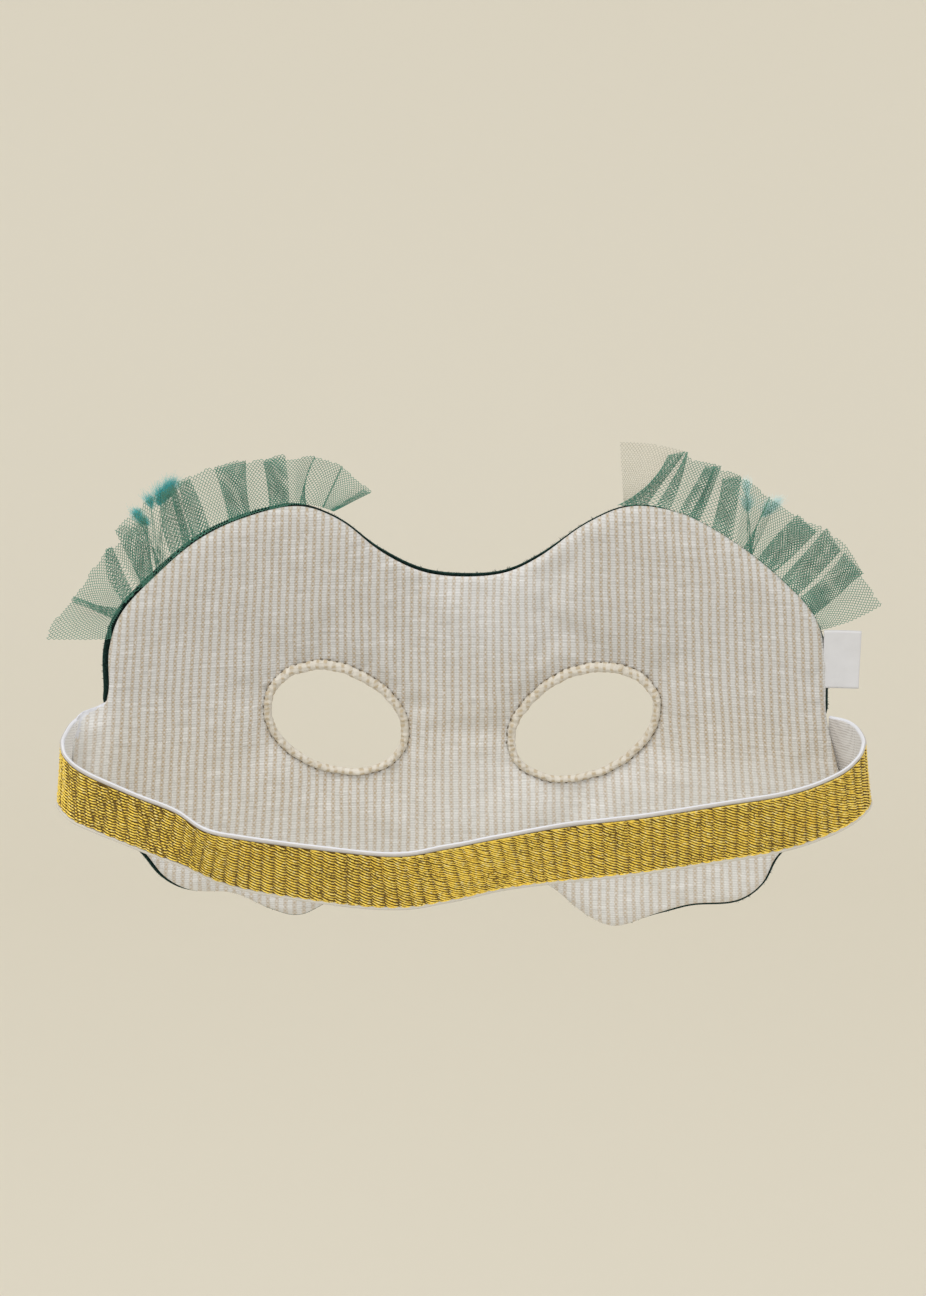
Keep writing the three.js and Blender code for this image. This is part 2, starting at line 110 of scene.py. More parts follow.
# The frills' fold lines, in the order that the net runs through them: foot x and z, rim x and z,
# how far the line's middle bows to its right, and how far its rim stands back from the seam.
FRILLS = {
    "left": [
        (-98.6, 27.2, -115.4, 28.0, 0.0, 0.4), (-98.4, 31.0, -112.4, 33.4, 0.0, 1.0),
        (-95.0, 36.4, -107.0, 39.6, -0.9, 1.8), (-97.9, 33.2, -107.4, 38.8, 0.4, -1.6),
        (-94.2, 38.2, -101.8, 47.6, 0.0, -0.4), (-91.2, 40.6, -96.6, 53.6, 0.0, 1.6),
        (-93.9, 38.2, -97.9, 53.4, -2.2, -1.4), (-89.6, 42.0, -96.4, 53.0, 0.0, 0.6),
        (-85.5, 45.3, -87.3, 61.5, 0.0, 2.0), (-88.9, 42.4, -95.4, 58.6, 0.0, -1.6),
        (-84.6, 46.4, -91.5, 62.0, 0.0, -1.0), (-81.6, 49.4, -86.0, 66.6, 0.0, 0.6),
        (-73.8, 55.6, -79.0, 69.4, 0.0, 2.2), (-80.6, 50.2, -82.6, 68.4, -1.4, -1.2),
        (-75.3, 54.8, -79.6, 70.2, 0.4, 0.6), (-77.6, 53.0, -80.4, 69.0, 0.2, -1.8),
        (-70.0, 58.0, -75.4, 71.6, 0.4, 1.8), (-75.0, 55.2, -78.4, 71.2, 0.0, -1.6),
        (-68.2, 58.8, -71.6, 74.2, 0.0, -0.4), (-58.8, 62.2, -59.8, 76.2, -0.4, 2.0),
        (-65.0, 60.3, -68.4, 75.0, 0.2, -1.6), (-57.2, 62.4, -58.0, 76.2, 0.0, -0.2),
        (-48.2, 64.2, -49.2, 77.2, 0.3, 2.0), (-53.9, 63.2, -55.2, 76.6, 0.3, -1.6),
        (-46.6, 64.4, -46.2, 76.6, 0.0, 0.0), (-43.2, 64.4, -40.7, 76.6, -1.5, 1.6),
        (-45.3, 64.4, -41.2, 76.8, -0.3, -1.4), (-41.6, 64.1, -37.6, 76.2, 0.0, 0.2),
        (-38.3, 63.2, -33.4, 73.4, 0.0, 1.2), (-38.9, 63.3, -34.0, 73.8, 0.0, 0.2),
        (-36.4, 62.2, -29.2, 70.0, 0.0, -0.2), (-35.2, 61.5, -25.4, 66.2, 0.0, 0.6),
        (-36.2, 61.9, -27.8, 67.6, 0.0, -0.8),
    ],
    "right": [
        (43.4, 65.4, 42.4, 80.6, 0.0, 3.4), (47.0, 65.2, 52.5, 80.4, 0.0, 3.0),
        (50.6, 64.8, 60.4, 78.8, 0.0, 2.0), (42.4, 64.6, 55.2, 78.6, 2.0, -1.4),
        (51.4, 64.2, 58.0, 78.9, 0.0, -0.8), (56.6, 63.4, 60.9, 78.8, 0.6, 1.8),
        (52.0, 64.0, 60.0, 78.8, 0.3, -1.4), (57.4, 63.2, 62.4, 77.2, 0.0, -0.2),
        (64.6, 60.6, 70.2, 75.4, 0.2, 2.0), (61.2, 62.0, 67.6, 75.6, 0.6, 0.6),
        (64.2, 60.8, 68.4, 75.4, 0.0, -0.2), (58.6, 62.9, 65.4, 76.2, 0.0, -1.8),
        (65.6, 60.2, 70.8, 75.0, 0.0, -0.4), (73.6, 55.8, 75.6, 72.6, 0.0, 2.0),
        (67.6, 59.2, 70.0, 73.2, 0.3, -1.6), (74.4, 55.2, 76.6, 72.4, 0.0, -0.2),
        (79.2, 51.4, 83.4, 67.4, -1.2, 1.6), (76.4, 53.8, 82.8, 67.8, 0.6, -1.4),
        (79.9, 50.8, 86.0, 65.6, 0.0, 0.0), (85.2, 46.8, 96.2, 58.2, 0.4, 2.0),
        (80.6, 50.4, 90.4, 63.8, -0.6, -1.6), (86.2, 45.9, 97.2, 59.8, 0.0, -0.2),
        (91.9, 41.0, 102.8, 53.2, 0.3, 2.0), (87.0, 45.2, 98.2, 60.6, 0.0, -1.6),
        (93.0, 39.8, 104.2, 55.2, 0.0, -0.2), (96.9, 35.6, 109.0, 47.2, 0.0, 2.0),
        (92.3, 40.4, 103.2, 54.2, 0.8, -1.6), (97.8, 34.0, 110.8, 43.8, 0.0, -0.2),
        (98.8, 31.2, 114.2, 38.8, 1.0, 0.8),
    ],
}
FRILL_TUCK = 0.09       # share of a fold line's length that is tucked between the two cloths

# The tufts' bunches: root x and z, tip x and z, spread across, and number of fibres.
TUFTS = {
    "left": [
        (-83.5, 62.5, -80.2, 69.6, 2.3, 560),
        (-84.0, 62.0, -83.0, 67.4, 2.7, 560),
        (-85.6, 61.6, -86.6, 65.6, 2.0, 260),
        (-86.2, 57.4, -88.6, 59.4, 1.5, 260),
        (-88.0, 57.8, -90.4, 61.8, 1.6, 420),
    ],
    "right": [
        (77.6, 61.0, 77.4, 65.4, 2.4, 320),
        (77.6, 63.0, 76.8, 70.6, 1.4, 140),
        (81.0, 59.6, 84.0, 64.2, 2.3, 340),
        (82.4, 60.6, 86.0, 66.0, 1.6, 180),
    ],
}
TUFT_BEHIND = 6.6       # distance of a bunch's tip behind the lining's face
TUFT_LEAN = 1.4         # how much nearer its root is
TUFT_FOOT = {"left": (-84.0, 3.1, 45.5), "right": (78.0, 3.1, 50.5)}  # where its threads are sewn
TUFT_THREADS = 4        # fine threads that hold each bunch


# ---- helpers ----

def face_y(x):
    """How far back the lining's face lies at a distance x from the middle, in metres."""
    across = np.abs(x) / MM
    tab = np.maximum(0.0, across - TAB_START)
    return -(BOW * (across / 100) ** 2 + TAB_CURL * tab ** 2) * MM


def show(name, data):
    """A new object in the scene."""
    made = bpy.data.objects.new(name, data)
    bpy.context.scene.collection.objects.link(made)
    return made


def make_object(name, points, faces, *materials, material_of=None, smooth=True):
    """A mesh object from points in metres and lists of corners, with a material for each face."""
    mesh = bpy.data.meshes.new(name)
    mesh.from_pydata([tuple(p) for p in points], [], [tuple(map(int, f)) for f in faces])
    mesh.validate()
    mesh.polygons.foreach_set("use_smooth", [smooth] * len(mesh.polygons))
    for material in materials:
        mesh.materials.append(material)
    if material_of is not None:
        mesh.polygons.foreach_set("material_index", material_of)
    mesh.update()
    return show(name, mesh)


def apply_modifiers(obj):
    """Puts what the modifiers make into the mesh, and leaves no modifier behind."""
    shown = obj.evaluated_get(bpy.context.evaluated_depsgraph_get())
    mesh = bpy.data.meshes.new_from_object(shown)
    obj.modifiers.clear()
    obj.data = mesh


def piece(obj, slot, *nodes):
    """Fastens a finished piece to the frame, in place of the CAD nodes it stands for."""
    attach(obj, "root")
    if nodes:
        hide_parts(*nodes)
    return obj


def points_of(obj):
    flat = np.zeros(len(obj.data.vertices) * 3)
    obj.data.vertices.foreach_get("co", flat)
    return flat.reshape(-1, 3)


def smoothstep(edge_low, edge_high, value):
    t = np.clip((value - edge_low) / (edge_high - edge_low), 0.0, 1.0)
    return t * t * (3 - 2 * t)


def lengths_of(rows):
    return np.linalg.norm(rows, axis=1)


def unit(rows):
    """Rows of vectors, each made one long."""
    return rows / lengths_of(rows)[:, None]


def run_along(points):
    """How far along a line of points each of them is."""
    return np.concatenate([[0], np.cumsum(lengths_of(np.diff(points, axis=0)))])


def tube_faces(start, sections, sides):
    """The sides of a tube, whose sections' points follow each other from a first point on."""
    faces = []
    for a in range(sections - 1):
        here = start + a * sides
        for b in range(sides):
            c = (b + 1) % sides
            faces.append((here + b, here + c, here + sides + c, here + sides + b))
    return faces


def add_tube(points, faces, line, radii, side, out, sides, flat=1.0):
    """Adds a tube along a line of points, its sections spanned by the ways side and out."""
    faces += tube_faces(len(points), len(line), sides)
    for at, radius, side_way, out_way in zip(line, radii, side, out):
        for b in range(sides):
            angle = 2 * math.pi * b / sides
            points.append(at + side_way * radius * math.cos(angle)
                          + out_way * radius * flat * math.sin(angle))


def spline(table, count):
    """A smooth curve through the rows of a table, as evenly spaced rows."""
    rows = np.array(table, float)
    ends = np.vstack([2 * rows[0] - rows[1], rows, 2 * rows[-1] - rows[-2]])
    fine = []
    for i in range(1, len(ends) - 2):
        p0, p1, p2, p3 = ends[i - 1:i + 3]
        for t in np.linspace(0, 1, 12, endpoint=False):
            fine.append(0.5 * (2 * p1 + (p2 - p0) * t + (2 * p0 - 5 * p1 + 4 * p2 - p3) * t ** 2
                               + (3 * p1 - p0 - 3 * p2 + p3) * t ** 3))
    fine.append(rows[-1])
    fine = np.array(fine)
    along = run_along(fine[:, :3])
    at = np.linspace(0, along[-1], count)
    return np.stack([np.interp(at, along, column) for column in fine.T], axis=1)


def waves(points, scale, seed, count=24):
    """Smooth random values between about -1 and 1 at points, varying over a scale in metres."""
    random = np.random.default_rng(seed)
    directions = unit(random.normal(size=(count, points.shape[1])))
    rates = random.uniform(0.5, 1.5, count)[:, None] * directions * (2 * np.pi / scale)
    phases = random.uniform(0, 2 * np.pi, count)
    return np.sin(points @ rates.T + phases).sum(1) / math.sqrt(count)


# ---- rings in the plane of the mask ----

def rings_of(node):
    """The edges of a panel node's near face as closed rings of x and z, the longest first."""
    work = bmesh.new()
    work.from_mesh(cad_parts[node].data)
    bmesh.ops.remove_doubles(work, verts=work.verts, dist=1e-6)
    work.normal_update()
    near = {f for f in work.faces if f.normal.y < -0.4}
    links = {}
    for edge in work.edges:
        if sum(f in near for f in edge.link_faces) == 1:
            a, b = edge.verts
            links.setdefault(a, []).append(b)
            links.setdefault(b, []).append(a)
    rings = []
    while links:
        start = min(links, key=lambda v: (v.co.x, v.co.z))
        ring, here, before = [], start, None
        while here in links:
            ring.append((here.co.x, here.co.z))
            onward = [v for v in links.pop(here) if v is not before and v in links]
            before, here = here, (onward[0] if onward else None)
        rings.append(np.array(ring))
    work.free()
    return sorted(rings, key=lambda r: -np.ptp(r[:, 0]))


def even_ring(ring, step):
    """A closed ring again, with evenly spaced points."""
    closed = np.vstack([ring, ring[:1]])
    along = run_along(closed)
    at = np.linspace(0, along[-1], max(8, round(along[-1] / step)), endpoint=False)
    return np.stack([np.interp(at, along, column) for column in closed.T], axis=1)


def ring_distance(points, ring):
    """How far each point is from a closed ring."""
    best = np.full(len(points), np.inf)
    for a, b in zip(ring, np.roll(ring, -1, axis=0)):
        d = b - a
        t = np.clip((points - a) @ d / max(d @ d, 1e-18), 0, 1)
        best = np.minimum(best, np.linalg.norm(points - a - t[:, None] * d, axis=1))
    return best


def inside_ring(points, ring):
    """Which points are inside a closed ring."""
    odd = np.zeros(len(points), bool)
    for (ax, az), (bx, bz) in zip(ring, np.roll(ring, -1, axis=0)):
        if az == bz:
            continue
        crosses = (az > points[:, 1]) != (bz > points[:, 1])
        odd ^= crosses & (points[:, 0] < ax + (points[:, 1] - az) * (bx - ax) / (bz - az))
    return odd


def shrunk_ring(ring, depth, step):
    """Points at a depth inside a ring, without those that fall too near to it at a corner."""
    even = even_ring(ring, step)
    moved = even + depth * inwards(even, ring, depth)
    return moved[inside_ring(moved, ring) & (ring_distance(moved, ring) > 0.9 * depth)]


def inwards(even, ring, probe, reach=1):
    """The ways into a ring, square to it at its evenly spaced points."""
    along = np.roll(even, -reach, axis=0) - np.roll(even, reach, axis=0)
    normal = unit(np.stack([-along[:, 1], along[:, 0]], axis=1))
    return normal if inside_ring(even + probe * normal, ring).mean() > 0.5 else -normal


def trimmed(ring):
    """The pile's outline: proud of the lining at the left and in the dip, scant elsewhere."""
    even = even_ring(ring, 0.8 * MM)
    x, z = even[:, 0] / MM, even[:, 1] / MM
    # How far it moves inwards, in mm, with the x or z between which each change sets in.
    bottom = smoothstep(-30, -38, z) * (0.45 - 0.50 * smoothstep(50, 60, x))
    bottom -= 0.45 * smoothstep(-22, -30, z) * smoothstep(-76, -84, x)
    bottom += 0.25 * smoothstep(-41, -46, z) * smoothstep(-55, -65, x)
    hump = 0.30 * smoothstep(48, 58, x) * smoothstep(25, 33, z)
    left = -0.40 * smoothstep(-38, -50, x) * smoothstep(-10, 0, z)
    dip = -0.35 * smoothstep(30, 20, np.abs(x)) * smoothstep(20, 30, z)
    # It ends in a point above each tab.
    left_end = 0.2 * smoothstep(15, 11, z) + 1.4 * smoothstep(11.0, 8.2, z)
    left_end *= smoothstep(-94, -97, x) * smoothstep(-8, 0, z)
    right_end = 1.3 * smoothstep(7.8, 5.2, z) * smoothstep(94, 97, x) * smoothstep(-8, 0, z)
    trim = bottom + hump + left + dip + left_end + right_end
    return even + inwards(even, even, 0.5 * MM, reach=2) * trim[:, None] * MM


def longer_tab(ring):
    """The lining's outline with its left tab drawn out along the strap."""
    out = ring.copy()
    out[:, 0] -= 1.6 * MM * smoothstep(-101.5 * MM, -105.0 * MM, ring[:, 0])
    return out


def on_strap(x):
    """How far back a cloth can lie at the left, where it rests on the strap's inner face."""
    middle, _, through = strap_frames(2000)
    rest = middle - through * (STRAP_THICK / 2 + CLOTH_SKIN + 0.05) * MM
    rest = rest[:np.argmin(middle[:, 0])][::-1]
    return np.interp(x, rest[:, 0], rest[:, 1])


def flat_cloth(outline, holes, step, depths):
    """Triangles that fill an outline around its holes, with rows of points along the outline."""
    edges_of = [even_ring(ring, step * 0.6) for ring in (outline, *holes)]
    inner = [shrunk_ring(outline, depth, step * 0.7) for depth in depths]
    low, high = outline.min(0), outline.max(0)
    grid = np.array([
        (x, z) for i, z in enumerate(np.arange(low[1], high[1], step * 0.866))
        for x in np.arange(low[0] + (i % 2) * step / 2, high[0], step)
    ])
    deepest = max(depths) + 0.55 * step
    keep = inside_ring(grid, outline) & (ring_distance(grid, outline) > deepest)
    for hole in holes:
        keep &= ~inside_ring(grid, hole) & (ring_distance(grid, hole) > 0.6 * step)
    points = np.concatenate([*edges_of, *inner, grid[keep]])
    edges, start = [], 0
    for ring in edges_of:
        edges += [(start + i, start + (i + 1) % len(ring)) for i in range(len(ring))]
        start += len(ring)
    found = delaunay_2d_cdt([Vector(p) for p in points], edges, [], 0, 1e-7)
    points, triangles = np.array([tuple(p) for p in found[0]]), np.array(found[2])
    middle = points[triangles].mean(1)
    keep = inside_ring(middle, outline)
    for hole in holes:
        keep &= ~inside_ring(middle, hole)
    return points, triangles[keep]


# ---- cloth ----

def thickened(obj, thick, offset):
    """A sheet with the thickness of its cloth, in mm, on one side or about its middle."""
    skin = obj.modifiers.new("skin", "SOLIDIFY")
    skin.thickness = thick * MM
    skin.offset = offset
    apply_modifiers(obj)
    return obj


def settled(points, triangles, pinned, pressure, slack):
    """Lets a cloth settle under light pressure from inside, held at its pinned points."""
    bigger = 10.0        # the simulation is steadier at ten times the size
    frames = 20
    work = make_object("settling", points * bigger, triangles)
    group = work.vertex_groups.new(name="pinned")
    group.add([int(i) for i in np.flatnonzero(pinned)], 1.0, "REPLACE")
    cloth = work.modifiers.new("cloth", "CLOTH")
    settings = dict(
        quality=6, mass=0.3, tension_stiffness=12, compression_stiffness=12, shear_stiffness=6,
        bending_stiffness=4.0, tension_damping=15, compression_damping=15,
        vertex_group_mass="pinned", shrink_min=-slack, use_pressure=True,
        uniform_pressure_force=pressure,
    )
    for name, value in settings.items():
        setattr(cloth.settings, name, value)
    cloth.settings.effector_weights.gravity = 0
    cloth.collision_settings.use_collision = False
    cloth.point_cache.frame_start = 1
    cloth.point_cache.frame_end = frames
    scene = bpy.context.scene
    for number in range(1, frames + 1):
        scene.frame_set(number)
    shown = work.evaluated_get(bpy.context.evaluated_depsgraph_get())
    moved = np.array([v.co for v in shown.data.vertices]) / bigger
    scene.frame_set(1)
    bpy.data.objects.remove(work)
    return moved


def padded_cloth(name, outline, holes, offset, facing, material):
    """A cloth skin on a thin pad: rounded away at its outline, swollen a little between seams.

    Offset is how far behind the lining's face it lies, and facing is -1 towards the camera."""
    flat, triangles = flat_cloth(outline, holes, CLOTH_STEP * MM, [d * MM for d in EDGE_ROWS])
    away = ring_distance(flat, outline)
    to_hole = np.min([ring_distance(flat, hole) for hole in holes], axis=0)
    turn = 1 - np.sqrt(1 - np.clip(1 - away / (EDGE_ROLL * MM), 0, 1) ** 2)
    drop = EDGE_DROP * turn
    if facing < 0:
        # The left tab lies flat and thins out until it meets the strap sewn on behind it.
        tab = smoothstep(-98.0 * MM, -101.0 * MM, flat[:, 0])
        thin = TAB_THIN * smoothstep(5.0 * MM, 0.0, away)
        drop = drop * (1 - tab) + thin * tab
    # Both cloths are drawn together round the eye holes.
    pinch = (GROOVE if facing < 0 else PILE_GROOVE) * smoothstep(5.5 * MM, 0.0, to_hole)
    y = face_y(flat[:, 0]) + offset * MM - facing * (drop + pinch) * MM
    # Soft creases: up and down between the eyes, and across below them.
    crease = 0.34 * waves(flat * [1.0, 0.22], 0.016, 81)
    crease *= smoothstep(0.035, 0.0, np.abs(flat[:, 0]))
    crease += 0.20 * waves(flat * [0.5, 1.0], 0.022, 82)
    y += crease * smoothstep(0.0, 5.0 * MM, away) * smoothstep(0.0, 3.0 * MM, to_hole) * MM
    if facing < 0:
        y = np.where(flat[:, 0] < -101.6 * MM, np.minimum(y, on_strap(flat[:, 0])), y)
    points = np.stack([flat[:, 0], y, flat[:, 1]], axis=1)
    a, b, c = points[triangles[0]]
    if np.cross(b - a, c - a)[1] * facing < 0:
        triangles = triangles[:, ::-1]
    held = (away < 1.2 * MM) | (to_hole < 0.6 * MM)
    change = settled(points, triangles, held, pressure=0.35, slack=0.012) - points
    points = points + np.clip(change, -SETTLE_LIMIT * MM, SETTLE_LIMIT * MM)
    obj = make_object(name, points, triangles, material)
    obj.modifiers.new("finer", "SUBSURF").levels = 1
    return thickened(obj, CLOTH_SKIN, -1)


def turn_edge(cloth, outline, material):
    """Gives the left tab's upper edge the plain white fold that is sewn to the strap."""
    mesh = cloth.data
    mesh.materials.append(material)
    centres = np.empty(len(mesh.polygons) * 3)
    mesh.polygons.foreach_get("center", centres)
    centres = centres.reshape(-1, 3)
    width = (0.6 + 1.0 * smoothstep(-101.0 * MM, -107.0 * MM, centres[:, 0])) * MM
    at_edge = ring_distance(centres[:, [0, 2]], outline) < width
    on_tab = (centres[:, 0] < -99.5 * MM) & (centres[:, 2] > 0)
    mesh.polygons.foreach_set("material_index", (at_edge & on_tab).astype(int))


# ---- shader helpers ----

class Wire:
    """A value that runs through a material's nodes and can be reckoned with like a number."""

    def __init__(self, owner, socket):
        self.owner = owner
        self.socket = socket

    def __add__(self, other):
        return self.owner.math("ADD", self, other)

    def __sub__(self, other):
        return self.owner.math("SUBTRACT", self, other)

    def __mul__(self, other):
        return self.owner.math("MULTIPLY", self, other)

    def __truediv__(self, other):
        return self.owner.math("DIVIDE", self, other)

    def __abs__(self):
        return self.owner.math("ABSOLUTE", self)


class Shader:
    """A material under construction, with short names for the nodes it is made of."""

    def __init__(self, name, roughness, metallic=0.0, sheen=0.0, specular=0.5):
        self.material = bpy.data.materials.new(name)
        self.material.use_nodes = True
        self.tree = self.material.node_tree
        self.inputs = self.tree.nodes["Principled BSDF"].inputs
        self.inputs["Roughness"].default_value = roughness
        self.inputs["Metallic"].default_value = metallic
        self.inputs["Sheen Weight"].default_value = sheen
        self.inputs["Specular IOR Level"].default_value = specular
        self.place = Wire(self, self.node("ShaderNodeTexCoord").outputs["Object"])

    def node(self, kind, **values):
        made = self.tree.nodes.new(kind)
        for name, value in values.items():
            setattr(made, name, value)
        return made

    def feed(self, sockets, *values):
        """Gives each socket a wire, a number or a colour."""
        for socket, value in zip(sockets, values):
            if isinstance(value, Wire):
                self.tree.links.new(value.socket, socket)
            else:
                socket.default_value = value

    def math(self, operation, a, b=0.0, c=0.0):
        made = self.node("ShaderNodeMath", operation=operation)
        self.feed(made.inputs, a, b, c)
        return Wire(self, made.outputs[0])

    def axes(self):
        made = self.node("ShaderNodeSeparateXYZ")
        self.feed(made.inputs, self.place)
        return [Wire(self, socket) for socket in made.outputs]

    def noise(self, size, detail=2.0, vector=None):
        """Noise about as coarse as a size in metres."""
        made = self.node("ShaderNodeTexNoise")
        self.feed([made.inputs["Vector"]], vector or self.place)
        made.inputs["Scale"].default_value = 1 / size
        made.inputs["Detail"].default_value = detail
        return Wire(self, made.outputs["Fac"])

    def shift(self, size, detail, width):
        """Noise as a distance to either side, over a width in mm."""
        return self.math("MULTIPLY_ADD", self.noise(size, detail), width * MM, -width / 2 * MM)

    def ramp(self, value, low, high, out_low=0.0, out_high=1.0):
        made = self.node("ShaderNodeMapRange", interpolation_type="SMOOTHSTEP")
        self.feed(made.inputs, value, low, high, out_low, out_high)
        return Wire(self, made.outputs[0])

    def mix(self, share, a, b):
        made = self.node("ShaderNodeMix", data_type="RGBA", blend_type="MIX")
        colors = [(*value, 1.0) if isinstance(value, tuple) else value for value in (a, b)]
        self.feed([made.inputs[0], *made.inputs[6:8]], share, *colors)
        return Wire(self, made.outputs[2])

    def repeat(self, shares):
        """How far each place is from the middle of its repeat, between 0 and 0.5."""
        return abs(self.math("FRACT", shares) - 0.5)

    def wave(self, along, pitch):
        """A sine between 0 and 1 that repeats each pitch, in mm."""
        turn = along * (2 * math.pi / (pitch * MM))
        return self.math("MULTIPLY_ADD", self.math("SINE", turn), 0.5, 0.5)

    def finish(self, color, bump=None, strength=0.5, depth=0.2):
        """The finished material, with a bump of a strength and a depth in mm."""
        self.feed([self.inputs["Base Color"]], color)
        if bump is not None:
            made = self.node("ShaderNodeBump")
            made.inputs["Strength"].default_value = strength
            made.inputs["Distance"].default_value = depth * MM
            self.feed([made.inputs["Height"]], bump)
            self.feed([self.inputs["Normal"]], Wire(self, made.outputs[0]))
        return self.material


# ---- materials ----

def lining_material():
    """Pale woven cotton with narrow stripes made of chains of small tan rings."""
    s = Shader("striped_lining", roughness=0.92, sheen=0.10, specular=0.2)
    x, _, z = s.axes()
    # The stripes fan out a little towards the bottom, and waver.
    fine = s.shift(0.0035, 2.0, 0.5)
    across = (x + x * z * 0.9) + (s.shift(0.03, 1.0, 1.8) + fine)
    up = z + fine * 0.8
    middle = s.repeat(across / (STRIPE * MM))
    stripe = s.ramp(middle, 0.28, 0.20)
    # A chain of rings: darkest where two rings meet, paler at their sides.
    links = s.wave(up, LINK)
    sides = s.ramp(middle, 0.05, 0.17)
    dots = s.mix(sides, s.ramp(links, 0.25, 0.80), s.ramp(links, 0.75, 0.20, 0.0, 0.55))
    weft = s.wave(up, WEFT)
    warp = s.wave(across, WARP)
    streaks = s.node("ShaderNodeCombineXYZ")
    s.feed([streaks.inputs[0], streaks.inputs[2]], x * 0.11, z)
    slubs = s.noise(0.0009, 1.5, vector=Wire(s, streaks.outputs[0]))
    ground = s.mix(s.noise(0.022, 3.0), (0.635, 0.617, 0.572), (0.695, 0.678, 0.637))
    ground = s.mix(weft * 0.34, ground, (0.36, 0.34, 0.31))
    ground = s.mix(s.ramp(slubs, 0.54, 0.74, 0.0, 0.45), ground, (0.84, 0.83, 0.81))
    ground = s.mix(s.ramp(slubs, 0.46, 0.28, 0.0, 0.40), ground, (0.40, 0.38, 0.34))
    tan = s.mix(s.noise(0.006), (0.400, 0.300, 0.180), (0.480, 0.375, 0.245))
    color = s.mix(stripe * s.math("MULTIPLY_ADD", dots, 0.55, 0.34), ground, tan)
    color = s.mix(s.ramp(s.noise(0.0007, 1.0), 0.60, 0.72, 0.0, 0.40), color, (0.80, 0.78, 0.74))
    # Painted shade towards the top and painted light towards the bottom: greyer towards the top,
    # lighter towards the bottom.
    color = s.mix(s.ramp(z, -0.015, 0.035, 0.0, 0.13), color, (0.0, 0.0, 0.0))
    color = s.mix(s.ramp(z, -0.015, -0.045, 0.0, 0.12), color, (0.95, 0.95, 0.93))
    # Painted light: paler in a band below the right eye and between the two humps, where the lining
    # catches more light, and on the left tab, against the shade beside the strap.
    band = s.ramp(z, -0.004, -0.013) * s.ramp(z, -0.034, -0.026)
    band = band * s.ramp(x, -0.030, 0.005, 0.0, 0.14)
    brow = s.ramp(z, 0.014, 0.030) * s.ramp(x, -0.020, 0.004)
    brow = brow * s.ramp(x, 0.040, 0.020, 0.0, 0.12)
    tab = s.ramp(x, -0.094, -0.105, 0.0, 0.22)
    color = s.mix(band + brow + tab, color, (0.97, 0.97, 0.96))
    height = weft * 0.5 + warp * 0.3 + stripe * dots * 0.5 + s.noise(0.0012) * 0.6
    return s.finish(color, height, strength=0.55, depth=0.16)


def hem_material():
    """The lining turned over the edge of an eye hole: cream, with its tan stripes bunched up."""
    s = Shader("puckered_hem", roughness=0.9, sheen=0.10, specular=0.2)
    x, _, z = s.axes()
    wander = s.shift(0.003, 2.0, 2.4)
    middle = s.repeat((x + wander) / (STRIPE * MM))
    dots = s.ramp(s.wave(z + wander, 2 * WEFT), 0.2, 0.8)
    cream = s.mix(s.noise(0.004), (0.52, 0.47, 0.38), (0.70, 0.66, 0.58))
    tan = s.mix(s.noise(0.0012), (0.38, 0.29, 0.17), (0.52, 0.43, 0.29))
    share = s.ramp(middle, 0.30, 0.12) * s.math("MULTIPLY_ADD", dots, 0.55, 0.30)
    height = s.noise(0.0012) + dots * 0.4
    return s.finish(s.mix(share, cream, tan), height, strength=0.7, depth=0.22)


def pile_material():
    """Short dark green pile, almost black where it is seen end on."""
    s = Shader("green_pile", roughness=0.95, sheen=0.12, specular=0.10)
    s.inputs["Sheen Roughness"].default_value = 0.5
    s.inputs["Sheen Tint"].default_value = (0.35, 0.75, 0.6, 1.0)
    color = s.mix(s.noise(0.012, 3.0), (0.006, 0.016, 0.013), (0.016, 0.042, 0.034))
    # Painted highlights: lighter flecks where the pile's fibres catch the light.
    color = s.mix(s.ramp(s.noise(0.0008), 0.45, 0.7), color, (0.026, 0.064, 0.052))
    return s.finish(color, s.noise(0.0005, 3.0), strength=0.8, depth=0.4)


def tuft_material():
    """Turquoise fibres, paler in the right tuft."""
    s = Shader("turquoise_fibre", roughness=0.8, sheen=0.4, specular=0.2)
    x, _, _ = s.axes()
    color = s.mix(s.noise(0.006), (0.045, 0.50, 0.50), (0.14, 0.66, 0.64))
    return s.finish(s.mix(s.ramp(x, -0.01, 0.01), color, (0.72, 0.93, 0.90)))


def gold_material():
    """Metallised gold yarn, duller and browner in places."""
    s = Shader("gold_yarn", roughness=0.42, metallic=0.35, specular=0.5)
    color = s.mix(s.noise(0.004, 3.0), (0.98, 0.645, 0.056), (1.0, 0.775, 0.135))
    color = s.mix(s.ramp(s.noise(0.0008), 0.35, 0.52, 0.45, 0.0), color, (0.25, 0.14, 0.02))
    color = s.mix(s.ramp(s.noise(0.0009), 0.50, 0.72, 0.0, 0.8), color, (0.98, 0.84, 0.38))
    # Dark gaps in leaning columns at the left, and here and there in clusters elsewhere.
    x, y, z = s.axes()
    columns = (x - y - z * 0.12) / (DASH_COLUMNS * MM)
    chance = s.node("ShaderNodeTexWhiteNoise", noise_dimensions="1D")
    s.feed([chance.inputs["W"]], s.math("FLOOR", columns))
    up = s.math("MULTIPLY_ADD", Wire(s, chance.outputs["Value"]), DASH_PITCH * MM, z)
    up = up + s.shift(0.0015, 1.0, 0.5)
    dashes = s.ramp(s.repeat(columns), 0.33, 0.20) * s.ramp(s.wave(up, DASH_PITCH), 0.45, 0.85)
    dashes = dashes * s.ramp(s.noise(0.0011, 1.0), 0.30, 0.55, 0.50, 1.0)
    dashes = dashes * s.ramp(x, -0.058, -0.080)
    specks = s.ramp(s.noise(0.0007, 1.0), 0.58, 0.66) * s.ramp(s.noise(0.007), 0.45, 0.62)
    color = s.mix(s.math("MAXIMUM", dashes, specks * 0.85), color, (0.15, 0.085, 0.012))
    return s.finish(color, s.noise(0.0004), strength=0.5, depth=0.08)


